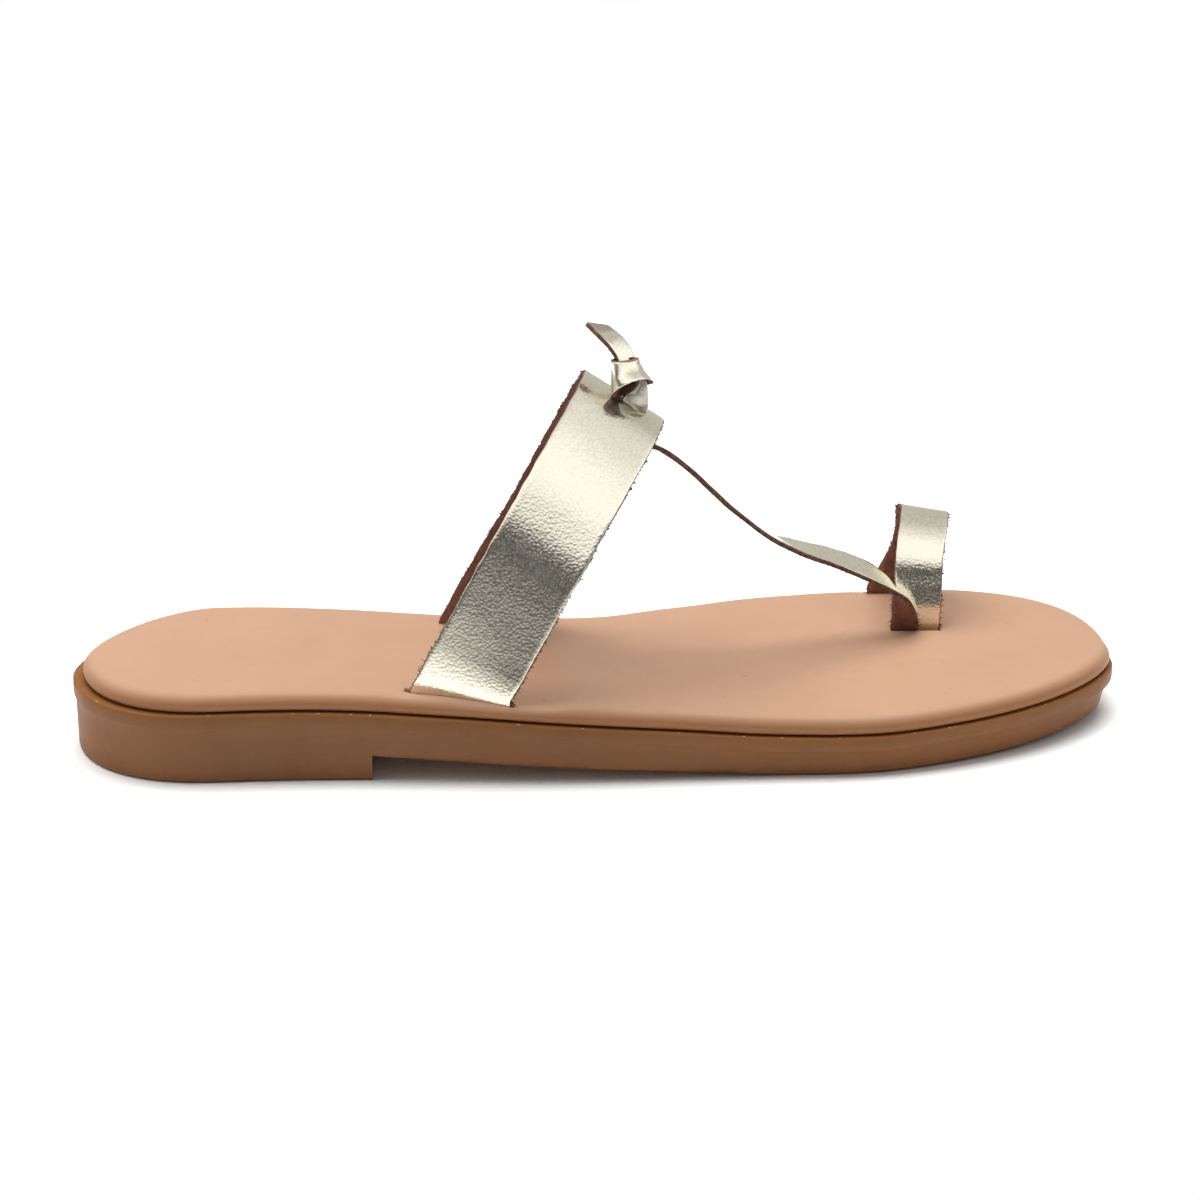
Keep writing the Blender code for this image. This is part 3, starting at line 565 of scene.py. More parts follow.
def toe_strap_sections(frame):
    """Sections of the toe strap: tab, twist beside the loop, rise to the band and through its slit."""
    centre, forward, sideways, outward = frame
    origin = TOE_STRAP_SLOT.centre
    path = []
    for row in TOE_STRAP_ROWS:
        place = origin + Vector(row[:3]) * MM
        path.append((*place, *row[3:]))
    for row in STAND_ROWS:
        place = centre + (forward * row.forward + sideways * row.sideways + outward * row.outward) * MM
        side = forward * row.side_forward + sideways * row.side_sideways + outward * row.side_outward
        path.append((*place, *side))
    axis = knot_axis()
    root = knot_root(frame)
    path.append((*(centre.lerp(root, 0.5) + outward * MM), *-forward))
    path.append((*root, *-forward))
    path.append((*(root + axis * STAND_TOP), *-forward))
    sections = sections_along(curve_through(path, TOE_STRAP_STEP), TOE_STRAP_WIDTH, square=True)
    # The strap is gathered narrower from the slit up into the knot.
    gathered = []
    for section in sections:
        offset = section.centre - centre
        height = offset.dot(axis) if offset.length < 2 * KNOT_RISE else 0.0
        share = min(max(height / (0.8 * KNOT_RISE), 0.0), 1.0)
        gathered.append(section._replace(half=section.half * (1 - (1 - STAND_GATHER) * share)))
    return tab_sections(TOE_STRAP_SLOT, gathered[0], Vector((0, 0, 0))) + gathered


def knot_root(frame):
    """Middle of the knot's lower mouth."""
    return frame[0] + Vector((0, -KNOT_OUT, KNOT_RISE))


def knot_frame(frame):
    """The knot's lower mouth, and its ways right (toe), back (inner side) and along its axis."""
    axis = knot_axis()
    right = (frame[1] - axis * frame[1].dot(axis)).normalized()
    return knot_root(frame), right, axis.cross(right), axis


def tail_sections(frame):
    """Sections of the strap's free end, out of the top of the sleeve and towards the heel."""
    root, right, back, axis = knot_frame(frame)
    start = root + axis * TAIL_START + back * TAIL_BACK
    path = []
    for row in TAIL_ROWS:
        place = start + (right * row.right + axis * row.up + back * row.back) * TAIL_LENGTH
        side = right * row.facing + back * math.sqrt(1 - row.facing * row.facing)
        path.append((*place, *-side))
    sections = sections_along(curve_through(path, TAIL_STEP), TOE_STRAP_WIDTH, square=True)
    # The strap leaves the sleeve gathered, and its end is cut at a slant.
    gathered = []
    for i, section in enumerate(sections):
        share = min(i / (0.5 * len(sections)), 1.0)
        width = TAIL_GATHER_START + (TAIL_GATHER_END - TAIL_GATHER_START) * share
        gathered.append(section._replace(half=section.half * width))
    end = gathered[-1]
    ahead = (end.centre - gathered[-2].centre).normalized()
    return gathered[:-3] + [end._replace(half=end.half + ahead * TAIL_CUT)]


# Finer steps and looks

FINE_OUTLINE_STEPS = 190
TOP_CHORDS = 72
BOTTOM_CHORDS = 6
FINE_STRAP_STEP = 0.7 * MM
FLESH_COLUMNS = 6
# Clearance between a strap and the insole's leather that closes round it
SNUG = 0.15 * MM
# Leather seen at the cut edges, pared thinner than the pieces it stands for
PARED = 1.2 * MM
INSOLE_TONE = (0.411, 0.241, 0.152)
# Painted shade of the insole's rolled rim, darker where its sides turn away from the light above
RIM_SHADE_TONE = (0.323, 0.140, 0.053)
OUTSOLE_TONE = (0.215, 0.084, 0.022)
RNG = np.random.default_rng(7)
CAMERA_PLACE = Vector((-0.0828, -0.9308, 0.3907))
CAMERA_AIM = Vector((0.0007, -0.0008, 0.0311))
FOCAL_PIXELS = 4050
FRAME_MIDDLE = 600
# Back to the camera, right and up, as it sees them
VIEW_BACK = (CAMERA_PLACE - CAMERA_AIM).normalized()
VIEW_RIGHT = Vector((0, 0, 1)).cross(VIEW_BACK).normalized()
VIEW_UP = VIEW_BACK.cross(VIEW_RIGHT)
# How deep the insole is drawn down round each of its slots, and how far the dips reach
SLOT_DIPS = (0.9 * MM, 0.7 * MM, 0.55 * MM, 0.5 * MM)
DIP_REACH = 3.2 * MM
# Length of the unevenness along a strap's cut edges
EDGE_WAVE = 1.6 * MM
# How far the straps' far legs tuck in behind the near ones, and the loop's near leg leans in
BAND_TUCK = 0.7 * MM
LOOP_TUCK = 3.4 * MM
LOOP_LEAN = 1.7 * MM
FINE_TOE_STRAP_STEP = 0.5 * MM
FINE_TAIL_STEP = 0.45 * MM
# Faces across the straps' smooth sides
BAND_COLUMNS = 28
LOOP_COLUMNS = 18
TOE_STRAP_COLUMNS = 12
TAIL_COLUMNS = 10
# Unevenness of the wider and the narrower straps' cut edges, in mm
BAND_ROUGH = 0.12
NARROW_ROUGH = 0.08
# The toe strap's strip ends this far above the band, near the slit
STRIP_END_RISE = 0.3 * MM
STRIP_END_REACH = 12 * MM
# The beads of glue: how many, how far inside the sole's edge, and how far over the seam
GLUE_COUNT = 46
GLUE_INSET = 0.5 * MM
GLUE_RISE = 0.02 * MM
# Loose fibres: how many on the band and on each narrower strap, and their sizes in mm
BAND_FIBRES = 1100
NARROW_FIBRES = 420
FIBRE_LENGTHS = (0.5, 1.4)
FIBRE_RADII = (0.08, 0.15)

WAVES = [(RNG.uniform(0.6, 1.6), RNG.uniform(0, 6.28)) for _ in range(12)]


def wave(place, scale, seed):
    """Smooth made-up unevenness between about -1 and 1 along a run."""
    total = 0.0
    for k in range(3):
        rate, turn = WAVES[(seed + 4 * k) % len(WAVES)]
        total += math.sin(place / scale * rate * (k + 1) + turn) / (k + 1)
    return total / 1.8


def new_mesh(name, bm, materials):
    bmesh.ops.recalc_face_normals(bm, faces=bm.faces)
    mesh_data = bpy.data.meshes.new(name)
    bm.to_mesh(mesh_data)
    bm.free()
    mesh_data.shade_smooth()
    for material in materials:
        mesh_data.materials.append(material)
    obj = bpy.data.objects.new(name, mesh_data)
    bpy.context.scene.collection.objects.link(obj)
    return obj


# Sole and insole


FINE_LATERAL = side_points(-1, FINE_OUTLINE_STEPS + 1)
FINE_MEDIAL = side_points(1, FINE_OUTLINE_STEPS + 1)
XS = np.linspace(HEEL_X, -HEEL_X, 400)
SEAM_HEIGHTS = np.array([seam_height(x) for x in XS])
FLOOR_HEIGHTS = np.array([floor_height(x) for x in XS])


def fine_outline():
    ring = np.concatenate([FINE_LATERAL, FINE_MEDIAL[-2:0:-1]])
    return ring + np.array([HEEL_X, AXIS_Y])


def seam_at(x):
    return np.interp(x, XS, SEAM_HEIGHTS)


def bridge(bm, low, high, finish=0):
    """Faces all round between two rings of corners."""
    for i in range(len(low)):
        j = (i + 1) % len(low)
        bm.faces.new((low[i], low[j], high[j], high[i])).material_index = finish


def ring_at(ring, insets, heights):
    """The ring drawn in by insets and set at heights."""
    return [(*place, height) for place, height in zip(inset_ring(ring, insets), heights)]


def loft(name, rings, bottom_steps, top_steps, materials, lift=None):
    """Closed body through rings, with chord rows under and over it; lift moves the top's inner points."""
    bm = bmesh.new()
    loops = [[bm.verts.new(p) for p in ring] for ring in rings]
    for low, high in zip(loops, loops[1:]):
        bridge(bm, low, high)
    cap(bm, loops[0], bottom_steps, True)
    cap(bm, loops[-1], top_steps, False)
    if lift is not None:
        for vert in bm.verts:
            vert.co = lift(vert.co)
    return new_mesh(name, bm, materials)


def cap(bm, loop, steps, faces_down):
    """Rows of faces across a ring whose first point is its heel tip."""
    half = len(loop) // 2
    rows = []
    for k in range(1, half):
        start, end = loop[k], loop[-k]
        row = [start]
        for step in range(1, steps):
            row.append(bm.verts.new(start.co.lerp(end.co, step / steps)))
        rows.append(row + [end])
    for low, high in zip(rows, rows[1:]):
        for s in range(steps):
            corners = (low[s], low[s + 1], high[s + 1], high[s])
            bm.faces.new(corners if faces_down else corners[::-1])
    for tip, row in ((loop[0], rows[0]), (loop[half], rows[-1])):
        for s in range(steps):
            bm.faces.new((tip, row[s], row[s + 1]))


def fine_outsole(materials):
    ring = fine_outline()
    shares = np.array([along_of(x) for x in ring[:, 0]])
    step = BAND_STEP_HEEL + (BAND_STEP_TOE - BAND_STEP_HEEL) * shares
    bottom = np.interp(ring[:, 0], XS, FLOOR_HEIGHTS)
    top = seam_at(ring[:, 0])
    line = top - BAND_HEIGHT
    foot = step + WALL_TAPER_HEEL + (WALL_TAPER_TOE - WALL_TAPER_HEEL) * shares
    # Heights and insets of the wall, from its rounded foot over the step to the band's top
    profile = [
        (bottom + rise * BOTTOM_EDGE_ROUND, foot + inset * BOTTOM_EDGE_ROUND)
        for rise, inset in ((0, 1), (0.08, 0.62), (0.3, 0.3), (0.62, 0.08), (1, 0))
    ]
    low, high = bottom + BOTTOM_EDGE_ROUND, line - 0.5 * BAND_EDGE_ROUND
    for share in (0.25, 0.5, 0.75, 1):
        profile.append((low + (high - low) * share, foot + (step - foot) * share))
    for rise, inset in ((-0.2, 0.85), (0, 0.3), (0.4, 0.05), (1, 0)):
        profile.append((line + rise * BAND_EDGE_ROUND, inset * step))
    for drop, inset in ((1, 0), (0.3, 0.3), (0, 1)):
        profile.append((top - drop * BAND_EDGE_ROUND, np.full(len(ring), inset * BAND_EDGE_ROUND)))
    rings = [ring_at(ring, insets, heights) for heights, insets in profile]
    obj = loft("outsole_rubber", rings, BOTTOM_CHORDS, BOTTOM_CHORDS, materials)
    # The space under the waist is a wedge from the heel's breast to the arch's end.
    breast = HEEL_X + HEEL_BLOCK_LENGTH
    end = HEEL_X + ARCH_END
    slope = ARCH_RISE / (end - breast)
    below = -5 * MM
    wide = BALL_WIDTH
    bm = bmesh.new()
    corners = ((breast, below), (end - below / slope, below), (breast, ARCH_RISE))
    near = [bm.verts.new((x, -wide, z)) for x, z in corners]
    far = [bm.verts.new((x, wide, z)) for x, z in corners]
    bm.faces.new(near)
    bm.faces.new(far[::-1])
    for i in range(3):
        j = (i + 1) % 3
        bm.faces.new((near[i], far[i], far[j], near[j]))
    cutter = new_mesh("arch_space", bm, materials)
    apply_cut(obj, cutter)
    return obj


def apply_cut(obj, cutter):
    modifier = obj.modifiers.new("cut", "BOOLEAN")
    modifier.operation = "DIFFERENCE"
    modifier.solver = "EXACT"
    modifier.object = cutter
    evaluated = obj.evaluated_get(bpy.context.evaluated_depsgraph_get())
    mesh_data = bpy.data.meshes.new_from_object(evaluated)
    obj.modifiers.clear()
    obj.data = mesh_data
    bpy.data.objects.remove(cutter)


def slot_dip(point):
    """How far the insole's leather is drawn down round the slots at a place on its top."""
    dip = 0.0
    for slot, depth in zip(SLOTS, SLOT_DIPS):
        offset = point - slot.centre
        along = offset.dot(slot.run)
        beyond = max(0.0, abs(along) - slot.length / 2)
        across = offset.dot(slot.inward)
        far = math.hypot(beyond, across)
        dip += depth * math.exp(-((far / DIP_REACH) ** 1.5))
    return dip


# Dents of the insole's near rim and one swelling: x, y, radii along and across, and depth, in mm
DENTS = (
    (-16.5, -37.0, 5.5, 5.0, 0.75),
    (-30.0, -38.5, 8.0, 3.5, 0.35),
    (-47.0, -32.0, 4.0, 4.0, 0.3),
    (-6.0, -38.0, 6.0, 4.0, -0.2),
)


def insole_lift(co):
    """Place of a point of the insole after its dips, dents and ripples, which fade out downwards."""
    point = Vector(co)
    base = float(seam_at(point.x)) + GAP
    share = min(max((point.z - base) / INSOLE_THICKNESS, 0.0), 1.0)
    top = share ** 2
    drop = slot_dip(point) * top
    for x, y, along, across, depth in DENTS:
        near = ((point.x / MM - x) / along) ** 2 + ((point.y / MM - y) / across) ** 2
        drop += depth * MM * math.exp(-near) * top
    ripple = 0.10 * MM * wave(point.x, 21 * MM, 1) * math.cos(point.y / (17 * MM)) * top
    point.z += ripple - drop
    return point


def fine_insole(materials):
    shortening = (INSOLE_LENGTH + 2 * INSOLE_INSET) / SOLE_LENGTH
    ring = fine_outline() * np.array([shortening, 1]) + np.array([INSOLE_SHIFT, 0])
    base = seam_at(ring[:, 0]) + GAP
    side_top = INSOLE_THICKNESS - INSOLE_ROLL
    profile = [(0.0, INSOLE_TUCK), (0.12 * side_top, 0.6 * INSOLE_TUCK), (0.35 * side_top, 0.3 * INSOLE_TUCK)]
    profile += [(0.7 * side_top, 0.06 * INSOLE_TUCK), (side_top, 0.0)]
    for i in range(1, 11):
        turn = math.pi / 2 * i / 10
        profile.append((side_top + INSOLE_ROLL * math.sin(turn), INSOLE_ROLL * (1 - math.cos(turn))))
    rings = [ring_at(ring, np.full(len(ring), INSOLE_INSET + inset), base + rise) for rise, inset in profile]
    obj = loft("insole_leather", rings, BOTTOM_CHORDS, TOP_CHORDS, materials, insole_lift)
    for slot in SLOTS:
        up = slot.run.cross(slot.inward)
        up = up if up.z > 0 else -up
        middle = slot.centre - up * (INSOLE_THICKNESS / 2)
        heel_end = SLOT_END_CLEARANCE if slot is INSTEP_LATERAL else SNUG
        length = slot.length + heel_end + SNUG
        middle = middle - slot.run * ((heel_end - SNUG) / 2)
        width = slot.layers * LEATHER + (slot.layers + 1) * SNUG
        sizes = (length, width, 3 * INSOLE_THICKNESS)
        apply_cut(obj, box_solid(middle, (slot.run, slot.inward, up), sizes, materials))
    return obj


def box_solid(centre, axes, sizes, materials):
    bm = bmesh.new()
    bmesh.ops.create_cube(bm, size=1)
    turn = Matrix((axes[0], axes[1], axes[2])).transposed().to_4x4()
    bm.transform(Matrix.Translation(centre) @ turn @ Matrix.Diagonal((*sizes, 1)))
    return new_mesh("cut_space", bm, materials)


# Leather strips

GRAIN, FLESH, EDGE = 0, 1, 2


def strip_profile(columns):
    """Points round a strip's section with the face each run belongs to: side share, inset, height, finish."""
    top, low = LEATHER / 2, LEATHER / 2 - PARED
    round_out = LEATHER_EDGE_ROUND
    points = []
    for i in range(FLESH_COLUMNS + 1):
        points.append((-1 + 2 * i / FLESH_COLUMNS, 0.0, low, FLESH if i < FLESH_COLUMNS else EDGE))
    for share in (0.2, 0.42, 0.6):
        points.append((1, 0.0, low + PARED * share, EDGE))
    points.append((1, 0.0, top - round_out, EDGE))
    for degrees in (30, 60):
        turn = math.radians(degrees)
        finish = EDGE if degrees == 30 else GRAIN
        points.append((1, round_out * (1 - math.cos(turn)), top - round_out * (1 - math.sin(turn)), finish))
    for i in range(columns + 1):
        points.append((1 - 2 * i / columns, round_out, top, GRAIN))
    for degrees in (60, 30):
        turn = math.radians(degrees)
        points.append((-1, round_out * (1 - math.cos(turn)), top - round_out * (1 - math.sin(turn)), EDGE))
    points.append((-1, 0.0, top - round_out, EDGE))
    for share in (0.6, 0.42, 0.2):
        points.append((-1, 0.0, low + PARED * share, EDGE))
    return points


def leather_strip(name, sections, columns, materials, rough=BAND_ROUGH, shape=None):
    """Fine strip through its sections: smooth face, flesh side and slightly uneven cut edges."""
    profile = strip_profile(columns)
    bm = bmesh.new()
    loops = []
    run = 0.0
    for i, section in enumerate(sections):
        if i:
            run += (section.centre - sections[i - 1].centre).length
        out = section.half.normalized()
        reach = section.half.length
        loop = []
        for share, inset, height, _ in profile:
            side = 1 if share > 0 else -1
            uneven = rough * MM * wave(run, EDGE_WAVE, 2 + side) if abs(share) == 1 else 0.0
            offset = share * (reach - inset) + side * uneven
            point = section.centre + out * offset + section.face * height
            if shape is not None:
                point = point + shape(section)
            loop.append(bm.verts.new(point))
        loops.append(loop)
    count = len(profile)
    for low, high in zip(loops, loops[1:]):
        for i in range(count):
            j = (i + 1) % count
            face = bm.faces.new((low[i], low[j], high[j], high[i]))
            face.material_index = profile[i][3]
    for loop in (loops[0], loops[-1]):
        face = bm.faces.new(loop)
        face.material_index = EDGE
    return new_mesh(name, bm, materials)


def fade(place, start, end):
    """Smooth rise from 0 at a start to 1 at an end, both in mm."""
    share = min(max((place / MM - start) / (end - start), 0.0), 1.0)
    return share * share * (3 - 2 * share)


def photo_row(point):
    """Pixel row of the 1200 pixel frame in which a place is seen."""
    way = point - CAMERA_PLACE
    return FRAME_MIDDLE + FOCAL_PIXELS * way.dot(VIEW_UP) / way.dot(VIEW_BACK)


class BowRow(NamedTuple):
    """How far the near leg of the instep band bows out, in mm, at a pixel row."""

    row: float
    bow: float


BOW_ROWS = [BowRow(*row) for row in (
    (400, 0.0),
    (421, 0.5),
    (445, 1.4),
    (469, 2.2),
    (493, 2.85),
    (517, 3.3),
    (541, 3.4),
    (565, 3.05),
    (589, 2.45),
    (613, 1.8),
    (637, 1.2),
    (661, 0.6),
    (680, 0.12),
    (690, 0.0),
)]
BOW_PLACES = np.array([entry.row for entry in BOW_ROWS])
BOW_SIZES = np.array([entry.bow for entry in BOW_ROWS])


def instep_bow(section):
    """The near leg bows out as the light on it shows, and the far leg's top leans forward a little."""
    row = float(np.clip(photo_row(section.centre), BOW_PLACES[0], BOW_PLACES[-1]))
    near = fade(section.centre.y, 5, -1)
    far = fade(section.centre.y, 8, 16) * fade(section.centre.z, 35, 50)
    bow = float(smooth_value(BOW_PLACES, BOW_SIZES, row)) * near * MM
    return section.face * bow + Vector((BAND_TUCK * far, 0, 0))


def toe_loop_lean(section):
    """The near leg leans in a little above the insole, and the far leg tucks in behind the near one."""
    near = fade(section.centre.z, 14, 29) * fade(section.centre.y, 32, 14)
    aloft = min(max((section.centre.z - 17 * MM) / (23 * MM), 0.0), 1.0)
    far = math.sin(math.pi * aloft) * fade(section.centre.y, 22, 32)
    return Vector((LOOP_TUCK * far, LOOP_LEAN * near, 0))


def resample(sections, step):
    """The same strip with its sections a short step apart."""
    centres = np.array([s.centre for s in sections])
    run = run_along(centres)
    even = even_steps(run, step)

    def smooth(values):
        return np.stack([[smooth_value(run, values[:, c], t) for t in even] for c in range(3)], 1)

    middle = smooth(centres)
    half = smooth(np.array([s.half for s in sections]))
    face = smooth(np.array([s.face for s in sections]))
    fine = []
    for c, h, f in zip(middle, half, face):
        fine.append(Section(Vector(c), Vector(h), Vector(f).normalized()))
    return fine


def fibres(name, sections, count, material, shape=None):
    """Short loose fibres standing out of both cut edges of a strip."""
    bm = bmesh.new()
    for _ in range(count):
        nearby = sections[int(RNG.integers(2, len(sections) - 2))]
        side = RNG.choice((-1, 1))
        out = nearby.half.normalized() * side
        ahead = nearby.face.cross(out)
        height = RNG.uniform(-0.18, 0.25) * LEATHER
        jitter = ahead * (RNG.uniform(-0.5, 0.5) * FINE_STRAP_STEP)
        root = nearby.centre + out * (nearby.half.length - 0.08 * MM) + nearby.face * height + jitter
        if shape is not None:
            root += shape(nearby)
        way = (out + ahead * RNG.normal(0, 0.9) + nearby.face * RNG.normal(-0.2, 0.6)).normalized()
        bend = Vector(RNG.normal(0, 0.5, 3))
        length = RNG.uniform(*FIBRE_LENGTHS) * MM * (0.5 + RNG.random() * 0.5)
        radius = RNG.uniform(*FIBRE_RADII) * MM
        add_fibre(bm, root, way, bend, length, radius)
    return new_mesh(name, bm, [material])


def add_fibre(bm, root, way, bend, length, radius):
    """One bent, pointed fibre with a three-sided section."""
    side = way.orthogonal().normalized()
    other = way.cross(side)
    rings = []
    for share, wide in ((0.0, 1.0), (0.55, 0.8)):
        middle = root + way * (length * share) + bend * (length * share * share * 0.6)
        ring = []
        for k in range(3):
            turn = 2 * math.pi * k / 3
            offset = (side * math.cos(turn) + other * math.sin(turn)) * (radius * wide)
            ring.append(bm.verts.new(middle + offset))
        rings.append(ring)
    tip = bm.verts.new(root + way * length + bend * (length * 0.6))
    for k in range(3):
        j = (k + 1) % 3
        bm.faces.new((rings[0][k], rings[0][j], rings[1][j], rings[1][k]))
        bm.faces.new((rings[1][k], rings[1][j], tip))
    bm.faces.new(rings[0][::-1])


# Materials


def nodes_of(name):
    material = bpy.data.materials.new(name)
    material.use_nodes = True
    tree = material.node_tree
    shader = tree.nodes["Principled BSDF"]
    place = tree.nodes.new("ShaderNodeTexCoord")
    return material, tree, shader, place.outputs["Object"]


def noise(tree, place, scale, detail=3.0, roughness=0.5, stretch=None):
    if stretch is not None:
        mapping = tree.nodes.new("ShaderNodeMapping")
        mapping.inputs["Scale"].default_value = stretch
        tree.links.new(place, mapping.inputs["Vector"])
        place = mapping.outputs["Vector"]
    node = tree.nodes.new("ShaderNodeTexNoise")
    node.inputs["Scale"].default_value = scale
    node.inputs["Detail"].default_value = detail
    node.inputs["Roughness"].default_value = roughness
    tree.links.new(place, node.inputs["Vector"])
    return node.outputs["Fac"]


def ramp(tree, value, stops):
    node = tree.nodes.new("ShaderNodeValToRGB")
    elements = node.color_ramp.elements
    while len(elements) < len(stops):
        elements.new(0.5)
    for element, (position, colour) in zip(elements, stops):
        element.position = position
        element.color = (*colour, 1)
    tree.links.new(value, node.inputs["Fac"])
    return node.outputs["Color"]


def height_facing(tree):
    """How far the surface faces up, from -1 to 1."""
    surface = tree.nodes.new("ShaderNodeNewGeometry")
    facing = tree.nodes.new("ShaderNodeSeparateXYZ")
    tree.links.new(surface.outputs["Normal"], facing.inputs[0])
    return facing.outputs["Z"]


def mix(tree, factor, first, second):
    node = tree.nodes.new("ShaderNodeMix")
    node.data_type = "RGBA"
    if isinstance(factor, float):
        node.inputs[0].default_value = factor
    else:
        tree.links.new(factor, node.inputs[0])
    for socket, value in ((node.inputs[6], first), (node.inputs[7], second)):
        if isinstance(value, tuple):
            socket.default_value = (*value, 1)
        else:
            tree.links.new(value, socket)
    return node.outputs[2]


def spread(tree, value, low, high, new_low, new_high):
    node = tree.nodes.new("ShaderNodeMapRange")
    for end, level in (("From Min", low), ("From Max", high), ("To Min", new_low), ("To Max", new_high)):
        node.inputs[end].default_value = level
    tree.links.new(value, node.inputs["Value"])
    return node.outputs["Result"]


def bump(tree, shader, layers):
    """Chains bump layers of (height, strength, distance in mm) into the shader's normal."""
    normal = None
    for height, strength, distance in layers:
        node = tree.nodes.new("ShaderNodeBump")
        node.inputs["Strength"].default_value = strength
        node.inputs["Distance"].default_value = distance * MM
        tree.links.new(height, node.inputs["Height"])
        if normal is not None:
            tree.links.new(normal, node.inputs["Normal"])
        normal = node.outputs["Normal"]
    tree.links.new(normal, shader.inputs["Normal"])


def linear(red, green, blue):
    """Colour from 0 to 255 values as seen, in the shader's own linear values."""
    out = []
    for value in (red, green, blue):
        value = value / 255
        out.append(value / 12.92 if value <= 0.04045 else ((value + 0.055) / 1.055) ** 2.4)
    return tuple(out)


def tones(tone, stops):
    """Stops of a colour ramp from positions and factors of one tone."""
    return [(position, shade(tone, factor)) for position, factor in stops]


def shade(tone, factor):
    return tuple(value * factor for value in tone)


def insole_material():
    material, tree, shader, place = nodes_of("insole_leather_peach")
    broad = noise(tree, place, 22, 2.0, 0.5)
    fine = noise(tree, place, 260, 4.0, 0.6)
    tone = ramp(tree, broad, tones(INSOLE_TONE, ((0.3, 0.93), (0.55, 1), (0.75, 1.05))))
    tone = mix(tree, spread(tree, fine, 0.35, 0.65, 0.0, 0.10), tone, shade(INSOLE_TONE, 0.75))
    specks = noise(tree, place, 420, 2.0, 0.5)
    tone = mix(tree, spread(tree, specks, 0.74, 0.78, 0.0, 0.35), tone, shade(INSOLE_TONE, 0.4))
    # The rolled rim is painted darker than the top as it turns away from the light above: painted shade.
    tone = mix(tree, spread(tree, height_facing(tree), 0.30, 0.93, 1.0, 0.0), tone, RIM_SHADE_TONE)
    tree.links.new(tone, shader.inputs["Base Color"])
    rough = spread(tree, noise(tree, place, 60, 3.0, 0.5), 0.3, 0.7, 0.42, 0.54)
    tree.links.new(rough, shader.inputs["Roughness"])
    shader.inputs["Specular IOR Level"].default_value = 0.4
    pores = noise(tree, place, 1700, 3.0, 0.6)
    scuff = noise(tree, place, 130, 4.0, 0.6, (1.0, 3.0, 1.0))
    bump(tree, shader, ((scuff, 0.25, 0.12), (pores, 0.25, 0.05)))
    return material


def outsole_material():
    material, tree, shader, place = nodes_of("outsole_tan_rubber")
    broad = noise(tree, place, 16, 3.0, 0.5, (1.0, 1.0, 2.5))
    fine = noise(tree, place, 300, 4.0, 0.65)
    tone = ramp(tree, broad, tones(OUTSOLE_TONE, ((0.3, 0.88), (0.55, 1), (0.75, 1.1))))
    tone = mix(tree, spread(tree, fine, 0.3, 0.7, 0.0, 0.22), tone, shade(OUTSOLE_TONE, 0.6))
    streak = noise(tree, place, 90, 3.0, 0.6, (0.4, 1.0, 5.0))
    tone = mix(tree, spread(tree, streak, 0.58, 0.75, 0.0, 0.3), tone, shade(OUTSOLE_TONE, 1.35))
    # The underside is painted dark: painted shade for the shadow under the sole.
    underside_shade = spread(tree, height_facing(tree), -0.95, -0.6, 0.75, 0.0)
    tone = mix(tree, underside_shade, tone, shade(OUTSOLE_TONE, 0.2))
    tree.links.new(tone, shader.inputs["Base Color"])
    rough = spread(tree, noise(tree, place, 80, 3.0, 0.5), 0.3, 0.7, 0.48, 0.62)
    tree.links.new(rough, shader.inputs["Roughness"])
    shader.inputs["Specular IOR Level"].default_value = 0.35
    pores = noise(tree, place, 1400, 3.0, 0.6)
    bump(tree, shader, ((streak, 0.2, 0.1), (pores, 0.3, 0.05)))
    return material


def metallic_material(name, scale=1.0, relief=1.0, tint=1.0, matt=0.0):
    """Champagne foil on a pebbled grain; tint darkens it and matt roughens it."""
    material, tree, shader, place = nodes_of(name)
    cells = tree.nodes.new("ShaderNodeTexVoronoi")
    cells.feature = "F1"
    cells.inputs["Scale"].default_value = 1400 * scale
    warp = noise(tree, place, 500, 2.0, 0.5)
    # A little noise bends the grain's cells.
    push = tree.nodes.new("ShaderNodeVectorMath")
    push.operation = "SCALE"
    push.inputs["Scale"].default_value = 0.0004
    tree.links.new(warp, push.inputs[0])
    bent = tree.nodes.new("ShaderNodeVectorMath")
    bent.operation = "ADD"
    tree.links.new(place, bent.inputs[0])
    tree.links.new(push.outputs[0], bent.inputs[1])
    tree.links.new(bent.outputs[0], cells.inputs["Vector"])
    grain = cells.outputs["Distance"]
    soft = noise(tree, place, 900, 3.0, 0.6)
    broad = noise(tree, place, 70, 3.0, 0.5)
    dark, pale = shade(linear(230, 224, 206), tint), shade(linear(238, 232, 216), tint)
    tone = ramp(tree, broad, ((0.3, dark), (0.7, pale)))
    tone = mix(tree, spread(tree, grain, 0.35, 0.75, 0.0, 0.16), tone, shade(linear(176, 164, 138), tint))
    tree.links.new(tone, shader.inputs["Base Color"])
    shader.inputs["Metallic"].default_value = 0.92
    rough = spread(tree, soft, 0.3, 0.7, 0.13 + matt, 0.19 + matt)
    tree.links.new(rough, shader.inputs["Roughness"])
    bump(tree, shader, ((broad, 0.05, 0.15 * relief), (grain, 0.9, -0.030 * relief)))
    return material


def flesh_material():
    material, tree, shader, place = nodes_of("strap_flesh_side")
    broad = noise(tree, place, 120, 3.0, 0.6)
    fine = noise(tree, place, 1500, 4.0, 0.7)
    tone = ramp(tree, broad, ((0.3, linear(118, 70, 52)), (0.7, linear(150, 98, 76))))
    tone = mix(tree, spread(tree, fine, 0.35, 0.65, 0.0, 0.6), tone, linear(62, 38, 30))
    tree.links.new(tone, shader.inputs["Base Color"])
    shader.inputs["Roughness"].default_value = 0.85
    shader.inputs["Sheen Weight"].default_value = 0.15
    bump(tree, shader, ((broad, 0.3, 0.2), (fine, 0.6, 0.12)))
    return material


